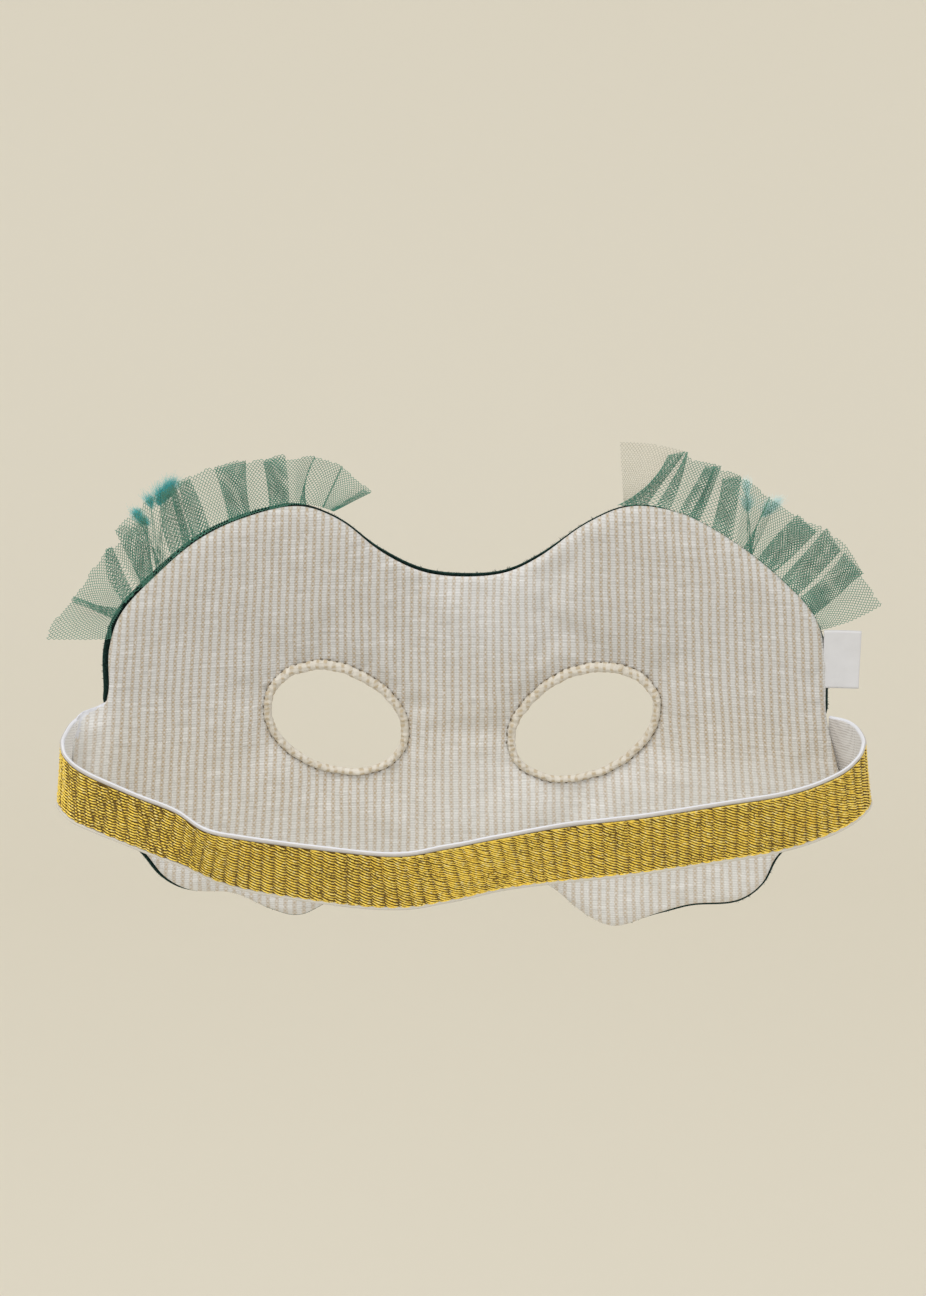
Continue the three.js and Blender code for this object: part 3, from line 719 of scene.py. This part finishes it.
def elastic_material():
    """The strap's plain off-white inner face, knitted in fine slanting rows."""
    s = Shader("white_elastic", roughness=0.8, sheen=0.2, specular=0.3)
    x, y, z = s.axes()
    along = abs(x) + y
    rows = s.wave(z + along * 0.35, 0.75)
    columns = s.wave(along + z * 0.3, 1.1)
    color = s.mix(s.noise(0.01), (0.62, 0.595, 0.565), (0.71, 0.69, 0.66))
    # Painted shade where the right end runs into its seam beside the lining's edge, and painted light
    # that makes the left end paler, where it turns away from the light.
    color = s.mix(s.ramp(x, 0.1075, 0.1025, 0.0, 0.55), color, (0.44, 0.40, 0.355))
    color = s.mix(s.ramp(x, -0.100, -0.104), color, (0.79, 0.775, 0.755))
    dark = s.ramp(rows, 0.6, 1.0) * s.ramp(columns, 0.4, 0.9)
    color = s.mix(dark * 0.60, color, (0.36, 0.32, 0.29))
    return s.finish(color, rows + columns * 0.7, strength=0.5, depth=0.15)


def ribbon_material():
    """White satin with its fine cross ribs."""
    s = Shader("white_satin", roughness=0.42, sheen=0.1, specular=0.5)
    x, _, z = s.axes()
    color = s.mix(s.noise(0.003, 3.0), (0.58, 0.57, 0.56), (0.65, 0.64, 0.63))
    height = s.wave(x, 0.22) + s.wave(z, 0.30) * 0.6
    return s.finish(color, height, strength=0.35, depth=0.06)


def plain_material(name, surface, patches, low, high, grain=None, strength=0.5, depth=0.2):
    """A yarn in two shades: its patches and its grain are noise of a size in mm and a detail."""
    roughness, metallic, sheen, specular = surface
    s = Shader(name, roughness, metallic, sheen, specular)
    color = s.mix(s.noise(patches[0] * MM, patches[1]), low, high)
    return s.finish(color, grain and s.noise(grain[0] * MM, grain[1]), strength, depth)


# The yarns of one plain colour: roughness, metal, sheen and shine, the size and detail of their
# patches, their two shades, and the size, detail, strength and depth of their grain.
PLAIN_MATERIALS = {
    "net": ("green_net", (0.55, 0.0, 0.1, 0.3), (20, 2.0),
            (0.055, 0.220, 0.145), (0.100, 0.285, 0.200)),
    # The net's undyed inner end at the right, so fine that it hardly shows.
    "pale_net": ("pale_net", (0.6, 0.0, 0.1, 0.3), (20, 2.0),
                 (0.48, 0.46, 0.36), (0.56, 0.54, 0.43)),
    # The dark brown-gold ground behind the gold floats.
    "ground": ("gold_ground", (0.7, 0.2, 0.0, 0.3), (1.2, 3.0),
               (0.075, 0.042, 0.008), (0.22, 0.140, 0.028), (0.5, 2.0), 0.7, 0.2),
    # The cool white yarn of the strap's rolled top edge.
    "selvedge": ("white_selvedge", (0.8, 0.0, 0.15, 0.3), (3, 2.0),
                 (0.61, 0.61, 0.635), (0.68, 0.68, 0.70), (0.6, 2.0), 0.4, 0.1),
    # The thin cream yarn of its bottom edge.
    "cream_edge": ("cream_edge", (0.8, 0.0, 0.15, 0.3), (3, 2.0),
                   (0.53, 0.50, 0.43), (0.60, 0.565, 0.49), (0.6, 2.0), 0.4, 0.1),
    # Painted shade: grey on the underside of the strap's rolled top edge, where it meets the gold.
    "painted_shade_edge": ("painted_shade_edge", (0.85, 0.0, 0.1, 0.2), (1.5, 2.0),
                  (0.42, 0.39, 0.35), (0.52, 0.49, 0.45), (0.5, 2.0), 0.5, 0.1),
    "thread": ("dark_thread", (0.75, 0.0, 0.1, 0.2), (2, 2.0),
               (0.085, 0.070, 0.045), (0.26, 0.20, 0.13), (0.3, 1.0), 0.5, 0.05),
}


# ---- mask body ----

def eye_axes(ring):
    """The middle, half sizes and tilt of an eye hole's ring in the lining."""
    even = even_ring(ring, 0.5 * MM)
    middle = even.mean(0)
    spread = even - middle
    long_way = np.linalg.eigh(spread.T @ spread)[1][:, 1]
    long_way = long_way * np.sign(long_way[0])
    short_way = np.array([-long_way[1], long_way[0]])
    trim = (HEM + GAP) * MM
    long = np.abs(spread @ long_way).max() - trim
    short = np.abs(spread @ short_way).max() - trim
    return middle, long, short, long_way, short_way


def eye_ring(eye, out, count):
    """An oval round an eye opening in x and z, out from its edge by a share of the hem's width.

    The hem is widest above the opening and narrowest below it."""
    middle, long, short, long_way, short_way = eye
    angle = np.linspace(0, 2 * np.pi, count, endpoint=False)
    edge = np.outer(np.cos(angle) * long, long_way) + np.outer(np.sin(angle) * short, short_way)
    away = unit(np.outer(np.cos(angle) / long, long_way)
                + np.outer(np.sin(angle) / short, short_way))
    up = away[:, 1]
    width = HEM + np.where(up > 0, 0.3 * up, -0.9 * up ** 2) - 0.35 * (1 - up ** 2)
    wobble = 0.22 * waves(edge, 0.022, 61) + 0.10 * waves(edge, 0.008, 62)
    return middle + edge + away * ((out * width + wobble) * MM)[:, None]


def eye_hem(side, eye, material):
    """The turned hem round an eye opening, drawn in at each stitch."""
    count = 360
    # Out from the opening's edge, as a share of the hem's width, and behind the lining's face.
    section = [
        (0.00, 1.10), (0.00, 0.50), (0.05, 0.02), (0.20, -0.34), (0.42, -0.50), (0.64, -0.46),
        (0.84, -0.28), (0.96, 0.02), (1.04, 0.55), (1.00, 1.10), (0.95, 1.80), (0.70, 2.25),
        (0.35, 2.30), (0.10, 2.00),
    ]
    line = eye_ring(eye, 1.0, count)
    around = lengths_of(line - np.roll(line, 1, axis=0)).cumsum()
    stitches = round(around[-1] / (STITCH * MM))
    drawn = np.cos(around / around[-1] * stitches * 2 * np.pi)
    uneven = waves(line, 0.006, 71)
    fine = waves(line, 0.0022, 72)
    rings = []
    for out, behind in section:
        swell = math.sin(math.pi * min(1.0, out)) if behind < 1.0 else 0.0
        lift = (0.08 * -drawn + 0.14 * uneven + 0.10 * fine) * swell
        slip = (0.030 * fine + 0.035 * uneven) if behind < 1.9 else 0.0
        xz = eye_ring(eye, out + slip, count)
        y = face_y(xz[:, 0]) + (behind - lift + 0.4 * GROOVE) * MM
        rings.append(np.stack([xz[:, 0], y, xz[:, 1]], axis=1))
    rows = len(rings)
    faces = []
    for r in range(rows):
        here, there = r * count, (r + 1) % rows * count
        for j in range(count):
            k = (j + 1) % count
            faces.append((here + j, there + j, there + k, here + k))
    obj = make_object(f"eye_hem_{side}", np.concatenate(rings), faces, material)
    work = bmesh.new()
    work.from_mesh(obj.data)
    bmesh.ops.recalc_face_normals(work, faces=work.faces)
    work.to_mesh(obj.data)
    work.free()
    return obj


def eye_stitches(side, eye, material):
    """Short dark stitches that sink into the groove between the hem and the lining."""
    random = np.random.default_rng(RANDOM_SEED + len(side))
    line = eye_ring(eye, 1.06, 400)
    length = lengths_of(line - np.roll(line, 1, axis=0)).sum()
    track = even_ring(line, length / round(length / (STITCH * MM)))
    points, faces = [], []
    sides, steps = 6, 6
    t = np.arange(steps + 1) / steps
    rise = np.sin(math.pi * t)
    for i, here in enumerate(track):
        ahead = track[(i + 1) % len(track)] - track[i - 1]
        ahead /= np.linalg.norm(ahead)
        turn = random.normal(0, 0.20)
        x_way = ahead[0] * math.cos(turn) - ahead[1] * math.sin(turn)
        z_way = ahead[0] * math.sin(turn) + ahead[1] * math.cos(turn)
        half = random.uniform(0.40, 0.70) * MM
        radius = random.uniform(0.13, 0.20) * MM
        slip = random.normal(0, 0.10) * MM
        x = here[0] + x_way * (2 * t - 1) * half + slip
        z = here[1] + z_way * (2 * t - 1) * half + slip
        y = face_y(x) + (GROOVE + 0.10 - 0.40 * rise) * MM
        beside, back = np.array([[-z_way, 0, x_way], [0, 1, 0]])
        start = len(points)
        add_tube(points, faces, np.column_stack([x, y, z]), radius * (0.40 + 0.60 * rise),
                 [beside] * len(t), [back] * len(t), sides)
        faces.append(tuple(start + b for b in reversed(range(sides))))
        faces.append(tuple(start + steps * sides + b for b in range(sides)))
    return make_object(f"eye_stitches_{side}", points, faces, material)


def fibres(name, roots, ways, lengths, width, material):
    """Tapering three-sided fibres, joined in one mesh."""
    count = len(roots)
    random = np.random.default_rng(RANDOM_SEED)
    side = unit(np.cross(ways, random.normal(size=(count, 3))))
    other = np.cross(ways, side)
    corners = [
        roots + width * (side * math.cos(angle) + other * math.sin(angle))
        for angle in (0, 2 * math.pi / 3, 4 * math.pi / 3)
    ]
    tips = roots + ways * lengths[:, None]
    points = np.stack([*corners, tips], axis=1).reshape(-1, 3)
    first = np.arange(count) * 4
    faces = np.concatenate([
        np.stack([first + a, first + b, first + 3], axis=1) for a, b in ((0, 1), (1, 2), (2, 0))
    ])
    return make_object(name, points, faces, material, smooth=False)


def pile_fibres(body, outline, material):
    """Short pile over the front face, and a fuzzy edge that shows past the lining."""
    random = np.random.default_rng(RANDOM_SEED + 1)
    mesh = body.data
    mesh.calc_loop_triangles()
    corners = np.array([t.vertices for t in mesh.loop_triangles])
    a, b, c = points_of(body)[corners.T]
    cross = np.cross(b - a, c - a)
    area = lengths_of(cross)
    normal = cross / area[:, None]
    edge_away = ring_distance(a[:, [0, 2]], outline)
    outer = (normal[:, 1] > 0.3) | ((edge_away < 1.0 * MM) & (normal[:, 1] > -0.6))
    weight = area * outer * np.where(edge_away < 2.0 * MM, PILE_AT_EDGE, 1.0)
    count = PILE_FIBRES
    pick = random.choice(len(area), count, p=weight / weight.sum())
    u, v = random.random((2, count, 1))
    u, v = np.where(u + v > 1, 1 - u, u), np.where(u + v > 1, 1 - v, v)
    roots = a[pick] + u * (b[pick] - a[pick]) + v * (c[pick] - a[pick])
    # The pile lies downwards, and stands out all round at the edge.
    near_edge = smoothstep(0.0, 2.5 * MM, edge_away[pick])
    ways = normal[pick] + random.normal(0, 0.35, (count, 3))
    ways[:, 2] -= 0.45 * near_edge
    ways = unit(ways)
    # Along the edge the pile clumps, so that it sticks out here and there.
    clumps = smoothstep(-0.2, 0.9, waves(roots, 0.0013, 33))
    lengths = (0.10 + 1.00 * clumps * random.uniform(0.6, 1.0, count)) * MM * (1 - near_edge)
    lengths += random.uniform(0.9, 1.7, count) * MM * near_edge
    return fibres("pile_fibres", roots - ways * 0.15 * MM, ways, lengths, 0.07 * MM, material)


# ---- strap ----

def strap_frames(count):
    """The strap's middle line with the ways across and out of it."""
    rows = spline(STRAP, count)
    middle = rows[:, :3] * MM
    along = np.gradient(middle, axis=0)
    along[:, 2] = 0
    along = unit(along)
    outwards = np.stack([along[:, 1], -along[:, 0], np.zeros(count)], axis=1)
    lean = np.radians(rows[:, 3])[:, None]
    up = np.array([[0.0, 0.0, 1.0]])
    across = up * np.cos(lean) + outwards * np.sin(lean)
    through = outwards * np.cos(lean) - up * np.sin(lean)
    return middle, across, through


def strap_band(materials):
    """The elastic band: white inner face and edges with painted shade under the rolled top edge, dark
    gold ground on the outer face.
    """
    count = 420
    middle, across, through = strap_frames(count)
    half = STRAP_WIDTH / 2
    # Along the width and outwards: the inner face, the rolled top edge, the sunken ground and
    # the thin bottom edge.
    inner = [(-half + 0.35, -0.70), (0.0, -0.70), (half - 1.3, -0.70)]
    top = [(half - 0.62 + 0.62 * math.sin(a), -0.04 - 0.68 * math.cos(a))
           for a in np.linspace(0.25, math.pi - 0.15, 9)]
    ground = [(half - 1.10, 0.30), (half - 1.45, 0.20), (0.0, 0.20), (-half + 0.95, 0.20)]
    bottom = [(-half + 0.92, 0.54), (-half + 0.76, 0.78), (-half + 0.36, 0.82),
              (-half + 0.08, 0.58), (-half, 0.1), (-half + 0.08, -0.4)]
    wobble = waves(middle, 0.012, 31) * 0.05
    sections = []
    for w, d in inner + top + ground + bottom:
        edge = (w + (wobble if abs(w) > 9 else 0 * wobble)) * MM
        sections.append(middle + across * edge[:, None] + through * (d * MM))
    points = np.stack(sections, axis=1).reshape(-1, 3)
    size = len(sections)
    faces = tube_faces(0, count, size)
    faces.append(tuple(range(size)))
    faces.append(tuple((count - 1) * size + j for j in reversed(range(size))))
    # Each run of the profile's faces shows one material, and so do the two ends.
    # The last faces of the rolled top edge, where it turns under to the gold, carry painted shade.
    turned = 4
    runs = [("elastic", len(inner)), ("selvedge", len(top) - turned), ("painted_shade_edge", turned),
            ("ground", len(ground) - 1), ("cream_edge", len(bottom)), ("elastic", 1)]
    names = ["elastic", "ground", "painted_shade_edge", "selvedge", "cream_edge"]
    shown = [names.index(name) for name, length in runs for _ in range(length)]
    return make_object("strap_band", points, faces, *(materials[name] for name in names),
                       material_of=shown * (count - 1) + [0, 0])


def strap_floats(material):
    """Gold floats: short slanting yarns in columns across the strap."""
    random = np.random.default_rng(RANDOM_SEED + 2)
    fine = 3000
    middle, across, through = strap_frames(fine)
    steps = lengths_of(np.diff(middle, axis=0))
    total = steps.sum()
    # The columns stand square to the strap's own way, which rises and falls.
    blur = np.hanning(401) / np.hanning(401).sum()
    rise_of = np.gradient(middle[:, 2]) / steps.mean()
    slope = np.convolve(np.pad(rise_of, 200, mode="edge"), blur, mode="valid")
    columns = int(total / (RIB * MM))
    low, high = -STRAP_WIDTH / 2 + 1.0, STRAP_WIDTH / 2 - 1.45
    rows = int((high - low) / FLOAT_PITCH)

    def nearest(place):
        """Which point of the middle line is at a place along it."""
        return (np.clip(place * MM / total, 0, 1) * (fine - 1)).astype(int)

    points, faces = [], []
    t = np.linspace(0, 1, 5)
    rise = np.sin(np.pi * t) ** 0.6
    rise[-1] = 0.0
    for column in range(columns):
        shift = random.uniform(-0.3, 0.3)
        where = column / columns
        # Nearly level at the left, and falling more steeply towards the right.
        fall = 0.25 + 0.22 * smoothstep(0.12, 0.30, where)
        reach = RIB * (0.54 - 0.02 * smoothstep(0.22, 0.28, where))
        pitch = FLOAT_PITCH * (1.0 + 0.12 * smoothstep(0.50, 0.40, where))
        for row in range(-3, rows + 4):
            centre = (column + 0.5) * RIB + random.normal(0, 0.06)
            height = low + (row + 0.5 + shift) * pitch + random.normal(0, 0.03)
            radius = random.uniform(0.25, 0.30)
            lie = slope[nearest(centre)]
            slant = fall + random.normal(0, 0.03) + lie
            sink = random.uniform(0.0, 0.10)
            heights = height - slant * reach * (2 * t - 1)
            if max(heights) <= low + 0.1 or min(heights) >= high - 0.1:
                continue
            at = nearest(centre - lie * heights + (2 * t - 1) * reach)
            inside = np.clip(heights, low, high)[:, None]
            outs = (0.16 + 0.34 * rise - sink)[:, None]
            line = middle[at] + (across[at] * inside + through[at] * outs) * MM
            add_tube(points, faces, line, radius * (0.5 + 0.5 * rise) * MM, across[at],
                     through[at], sides=5, flat=0.9)
    return make_object("strap_gold_floats", points, faces, material)


# ---- frills ----

def frill_place(fold, u, v):
    """Where the net is, at flat places u along the strip and v from foot to rim, both arrays."""
    foot, rim, bow, depth, flat_at = fold
    way = rim - foot
    right = unit(np.stack([way[:, 1], -way[:, 0]], axis=1))

    def on_line(i, v):
        bulge = (bow[i] * 4 * v * (1 - v))[:, None]
        xz = foot[i] + way[i] * v[:, None] + right[i] * bulge
        seam = (LINING + GAP / 2 - BOW * (xz[:, 0] / MM / 100) ** 2) * MM
        y = seam + depth[i] * (0.06 + 0.94 * smoothstep(0.1, 0.9, v))
        return np.column_stack([xz[:, 0], y, xz[:, 1]])

    i = np.clip(np.searchsorted(flat_at, u, side="right") - 1, 0, len(flat_at) - 2)
    t = (u - flat_at[i]) / (flat_at[i + 1] - flat_at[i])
    here = on_line(i, v) * (1 - t)[:, None] + on_line(i + 1, v) * t[:, None]
    # Each fold is rounded: near a line the path is drawn in towards the chord across it.
    width = 0.45 * MM
    for near, other, share in ((i, i - 1, t), (i + 1, i + 2, 1 - t)):
        distance = share * (flat_at[i + 1] - flat_at[i])
        ok = (other >= 0) & (other < len(flat_at)) & (distance < width)
        at, beyond = near[ok], other[ok]
        inner = i[ok] + (i[ok] + 1) - at
        corner = on_line(at, v[ok])

        def chord_to(line):
            share = np.clip(width / np.abs(flat_at[line] - flat_at[at]), 0, 1)
            return corner + (on_line(line, v[ok]) - corner) * share[:, None]

        k = (0.5 + 0.5 * distance[ok] / width)[:, None]
        here[ok] = chord_to(beyond) * (1 - k) ** 2 + corner * 2 * k * (1 - k) + chord_to(inner) * k ** 2
    return here


def frill(side, materials):
    """A gathered strip of hexagonal net, every thread a thin tube, with its flat width and height."""
    rows = np.array(FRILLS[side], float) * MM
    foot, rim, bow, depth = rows[:, 0:2], rows[:, 2:4], rows[:, 4], rows[:, 5]
    foot = foot - (rim - foot) * FRILL_TUCK
    flat_at = run_along(np.column_stack([rim[:, 0], depth, rim[:, 1]]))
    fold = foot, rim, bow, depth, flat_at
    wide, tall = flat_at[-1], lengths_of(rim - foot).mean()
    random = np.random.default_rng(RANDOM_SEED + 3 + len(side))
    step_u, step_v = NET * MM, (NET_UPRIGHT + NET_RISE) * MM
    # Corners of the hexagons: two to a cell, joined by three threads to a cell.
    threads = [(0, NET_UPRIGHT * MM), (-step_u / 2, -NET_RISE * MM), (step_u / 2, -NET_RISE * MM)]
    starts, ends = [], []
    for row in range(int(tall / step_v) + 2):
        u = np.arange(-step_u, wide + step_u, step_u) + (row % 2) * step_u / 2
        corner = np.column_stack([u, np.full(len(u), row * step_v)])
        for thread in threads:
            starts.append(corner)
            ends.append(corner + thread)
    a, b = np.concatenate(starts), np.concatenate(ends)
    ragged = 0.25 * MM * waves(a[:, :1], 0.009, 41)
    keep = np.ones(len(a), bool)
    for p in (a, b):
        keep &= (p[:, 0] >= 0) & (p[:, 0] <= wide) & (p[:, 1] >= 0)
        keep &= p[:, 1] <= tall + ragged
    a, b = a[keep], b[keep]
    start, end = (frill_place(fold, p[:, 0], p[:, 1] / tall) for p in (a, b))
    for p in (start, end):
        p[:, 1] += 0.25 * MM * waves(p, 0.007, 51)
    way = end - start
    size = lengths_of(way)
    ok = (size > 0.08 * MM) & (size < 3.0 * NET * MM)
    start, end, way = start[ok], end[ok], way[ok] / size[ok][:, None]
    aside = unit(np.cross(way, np.array([0.0, 1.0, 0.0]) + random.normal(0, 0.05, (len(way), 3))))
    other = np.cross(way, aside)
    radius = NET_THREAD * MM / math.sqrt(3)
    corners = [
        end_point + radius * (aside * math.cos(angle) + other * math.sin(angle))
        for end_point in (start, end) for angle in (math.pi / 2, math.pi * 7 / 6, math.pi * 11 / 6)
    ]
    points = np.stack(corners, axis=1).reshape(-1, 3)
    first = np.arange(len(start)) * 6
    faces = np.concatenate([
        np.stack([first + p, first + q, first + q + 3, first + p + 3], axis=1)
        for p, q in ((0, 1), (1, 2), (2, 0))
    ])
    # The right frill's inner end, before its first fold, is the paler net.
    pale = (a[ok][:, 0] < flat_at[2]) & (side == "right")
    obj = make_object(f"frill_{side}", points, faces, materials["net"], materials["pale_net"],
                      material_of=np.tile(pale.astype(int), 3))
    return obj, wide, tall


def tuft(side, material, thread):
    """Soft fibres in a few bunches behind the net, held by fine threads from the pile cloth."""
    random = np.random.default_rng(RANDOM_SEED + 5 + len(side))
    points, faces = [], []
    t = np.arange(6)[:, None] / 5
    x_way, y_way = np.array([[1, 0, 0]] * len(t)), np.array([[0, 1, 0]] * len(t))

    def strand(begin, finish, bend, radius):
        line = begin * (1 - t) + finish * t + bend * 4 * t * (1 - t) * 0.5
        line[:, 1] += face_y(line[:, 0])
        add_tube(points, faces, line, radius * (1 - 0.6 * t[:, 0]), x_way, y_way, sides=3)

    bunches = [
        (np.array([root_x, TUFT_BEHIND - TUFT_LEAN, root_z]) * MM,
         np.array([tip_x, TUFT_BEHIND, tip_z]) * MM, spread, count)
        for root_x, root_z, tip_x, tip_z, spread, count in TUFTS[side]
    ]
    for root, tip, spread, count in bunches:
        for _ in range(count):
            begin = root + (tip - root) * random.uniform(0.25, 0.8)
            begin = begin + random.normal(0, 0.35, 3) * MM
            finish = tip + random.normal(0, 1, 3) * np.array([spread, 0.9, spread * 0.8]) * 0.62 * MM
            bend = random.normal(0, 1.0, 3) * MM
            strand(begin, finish, bend, random.uniform(0.022, 0.042) * MM)
    slots = [0] * len(faces)
    foot = np.array(TUFT_FOOT[side]) * MM
    for root, tip, _, _ in bunches:
        for _ in range(TUFT_THREADS):
            begin = foot + random.normal(0, 0.5, 3) * np.array([1, 0.2, 0.6]) * MM
            finish = root + (tip - root) * random.uniform(0.4, 0.8)
            strand(begin, finish, random.normal(0, 0.5, 3) * MM, 0.075 * MM)
    slots += [1] * (len(faces) - len(slots))
    return make_object(f"tuft_fibres_{side}", points, faces, material, thread, material_of=slots)


# ---- label ----

def side_label(material):
    """A blank satin ribbon, folded in two, that stands out of the right side seam."""
    up = 30
    long, tall = LABEL["long"] * MM, LABEL["tall"] * MM
    seam = face_y(LABEL["x"] * MM) + (LINING + GAP / 2) * MM
    half = 0.32 * MM
    # Out along the near layer, round the fold and back along the far one.
    path = [(t, -half) for t in np.linspace(-LABEL_TUCK * MM, long - half, 24)]
    path += [(long - half + half * math.sin(a), -half * math.cos(a))
             for a in np.linspace(0, math.pi, 8)[1:-1]]
    path += [(t, half) for t in np.linspace(long - half, -LABEL_TUCK * MM, 24)]
    points = []
    for along, depth in path:
        t = along / long
        for j in range(up + 1):
            s = j / up - 0.5
            wave = 0.16 * MM * math.sin(5.0 * s + 2.0 * t) * t
            x = LABEL["x"] * MM + along + 0.12 * MM * math.sin(3 * s) * t
            y = seam + depth - LABEL["curl"] * MM * t * t + wave
            points.append((x, y, LABEL["z"] * MM + s * tall))
    corners = [i * (up + 1) + j for i in range(len(path) - 1) for j in range(up)]
    faces = [(a, a + up + 1, a + up + 2, a + 1) for a in corners]
    return thickened(make_object("label_ribbon", points, faces, material), LABEL_SKIN, 0)


# ---- camera, stage and light ----

def set_camera():
    """The camera stands 18 degrees above the mask and almost straight in front of its lining."""
    camera = show("camera", bpy.data.cameras.new("camera"))
    camera.data.sensor_fit = "VERTICAL"
    camera.data.sensor_height = 36.0
    camera.data.lens = 99.19
    camera.location = Vector((15.926, -944.519, 328.725)) * MM
    target = Vector((-0.672, 6.393, 19.708)) * MM
    camera.rotation_euler = (target - camera.location).to_track_quat("-Z", "Y").to_euler()
    bpy.context.scene.camera = camera


def set_stage():
    """A pale floor that sweeps up into a backdrop far behind."""
    s = Shader("pale_paper", roughness=0.9, specular=0.1)
    material = s.finish(s.mix(s.noise(0.9), (0.780, 0.727, 0.603), (0.790, 0.737, 0.613)))
    low, bend, reach = -1.40, 1.6, 3.4
    profile = [(-3.0, low)]
    for angle in np.linspace(0, math.pi / 2, 16):
        profile.append((reach + bend * math.sin(angle), low + bend * (1 - math.cos(angle))))
    profile.append((reach + bend, 4.5))
    points = [(x, y, z) for y, z in profile for x in (-6.0, 6.0)]
    faces = [(2 * i, 2 * i + 1, 2 * i + 3, 2 * i + 2) for i in range(len(profile) - 1)]
    floor = make_object("stage_sweep", points, faces, material)


def add_light(name, place, size, power, color):
    light = bpy.data.lights.new(name, "AREA")
    light.shape = "RECTANGLE"
    light.size, light.size_y = size
    light.energy = power
    light.color = color
    lamp = show(name, light)
    lamp.location = place
    lamp.rotation_euler = (-Vector(place)).to_track_quat("-Z", "Y").to_euler()


def set_lights():
    """An even room, a warm lamp above and a weak one in front."""
    world = bpy.data.worlds.new("room")
    world.use_nodes = True
    background = world.node_tree.nodes["Background"]
    background.inputs["Color"].default_value = (0.97, 0.98, 1.0, 1.0)
    background.inputs["Strength"].default_value = 0.92
    bpy.context.scene.world = world
    add_light("key", (-0.6, -0.8, 2.0), (1.0, 1.0), 22.0, (1.0, 0.98, 0.95))
    add_light("front", (0.4, -2.2, 0.8), (1.6, 1.0), 5.0, (1.0, 1.0, 1.0))
    bpy.context.scene.view_settings.view_transform = "Standard"


# ---- assembly ----

set_camera()
set_stage()
set_lights()

MATERIALS = {key: plain_material(*row) for key, row in PLAIN_MATERIALS.items()}
MATERIALS.update(
    lining=lining_material(), hem=hem_material(), pile=pile_material(), tuft=tuft_material(),
    gold=gold_material(), elastic=elastic_material(), ribbon=ribbon_material(),
)

lining_rings = rings_of("back_panel")
pile_rings = rings_of("front_panel")
eyes = {
    ("left" if ring[:, 0].mean() < 0 else "right"): eye_axes(ring) for ring in lining_rings[1:]
}
holes = [eye_ring(eye, HOLE_EDGE, 120) for eye in eyes.values()]

lining_edge = longer_tab(lining_rings[0])
lining = padded_cloth("lining_cloth", lining_edge, holes, 0.0, -1, MATERIALS["lining"])
turn_edge(lining, lining_edge, MATERIALS["selvedge"])
piece(lining, "lining", "back_panel")

pile_edge = trimmed(pile_rings[0])
pile_face = LINING + GAP + PILE - PILE_DEPTH
pile = padded_cloth("pile_cloth", pile_edge, holes, pile_face, 1, MATERIALS["pile"])
piece(pile, "pile", "front_panel")
piece(pile_fibres(pile, pile_edge, MATERIALS["pile"]), "pile")

for side, eye in eyes.items():
    hem = piece(eye_hem(side, eye, MATERIALS["hem"]), "lining", f"eye_rim_{side}")
    piece(eye_stitches(side, eye, MATERIALS["thread"]), "lining")

for side in ("left", "right"):
    net, wide, tall = frill(side, MATERIALS)
    piece(net, "tulle", f"ruffle_{side}")
    strands = tuft(side, MATERIALS["tuft"], MATERIALS["net"])
    piece(strands, "tuft", f"tuft_{side}")

band = piece(strap_band(MATERIALS), "elastic", "strap")
floats = piece(strap_floats(MATERIALS["gold"]), "elastic")
strap_length = float(lengths_of(np.diff(strap_frames(600)[0], axis=0)).sum())

label = piece(side_label(MATERIALS["ribbon"]), "ribbon", "side_label")
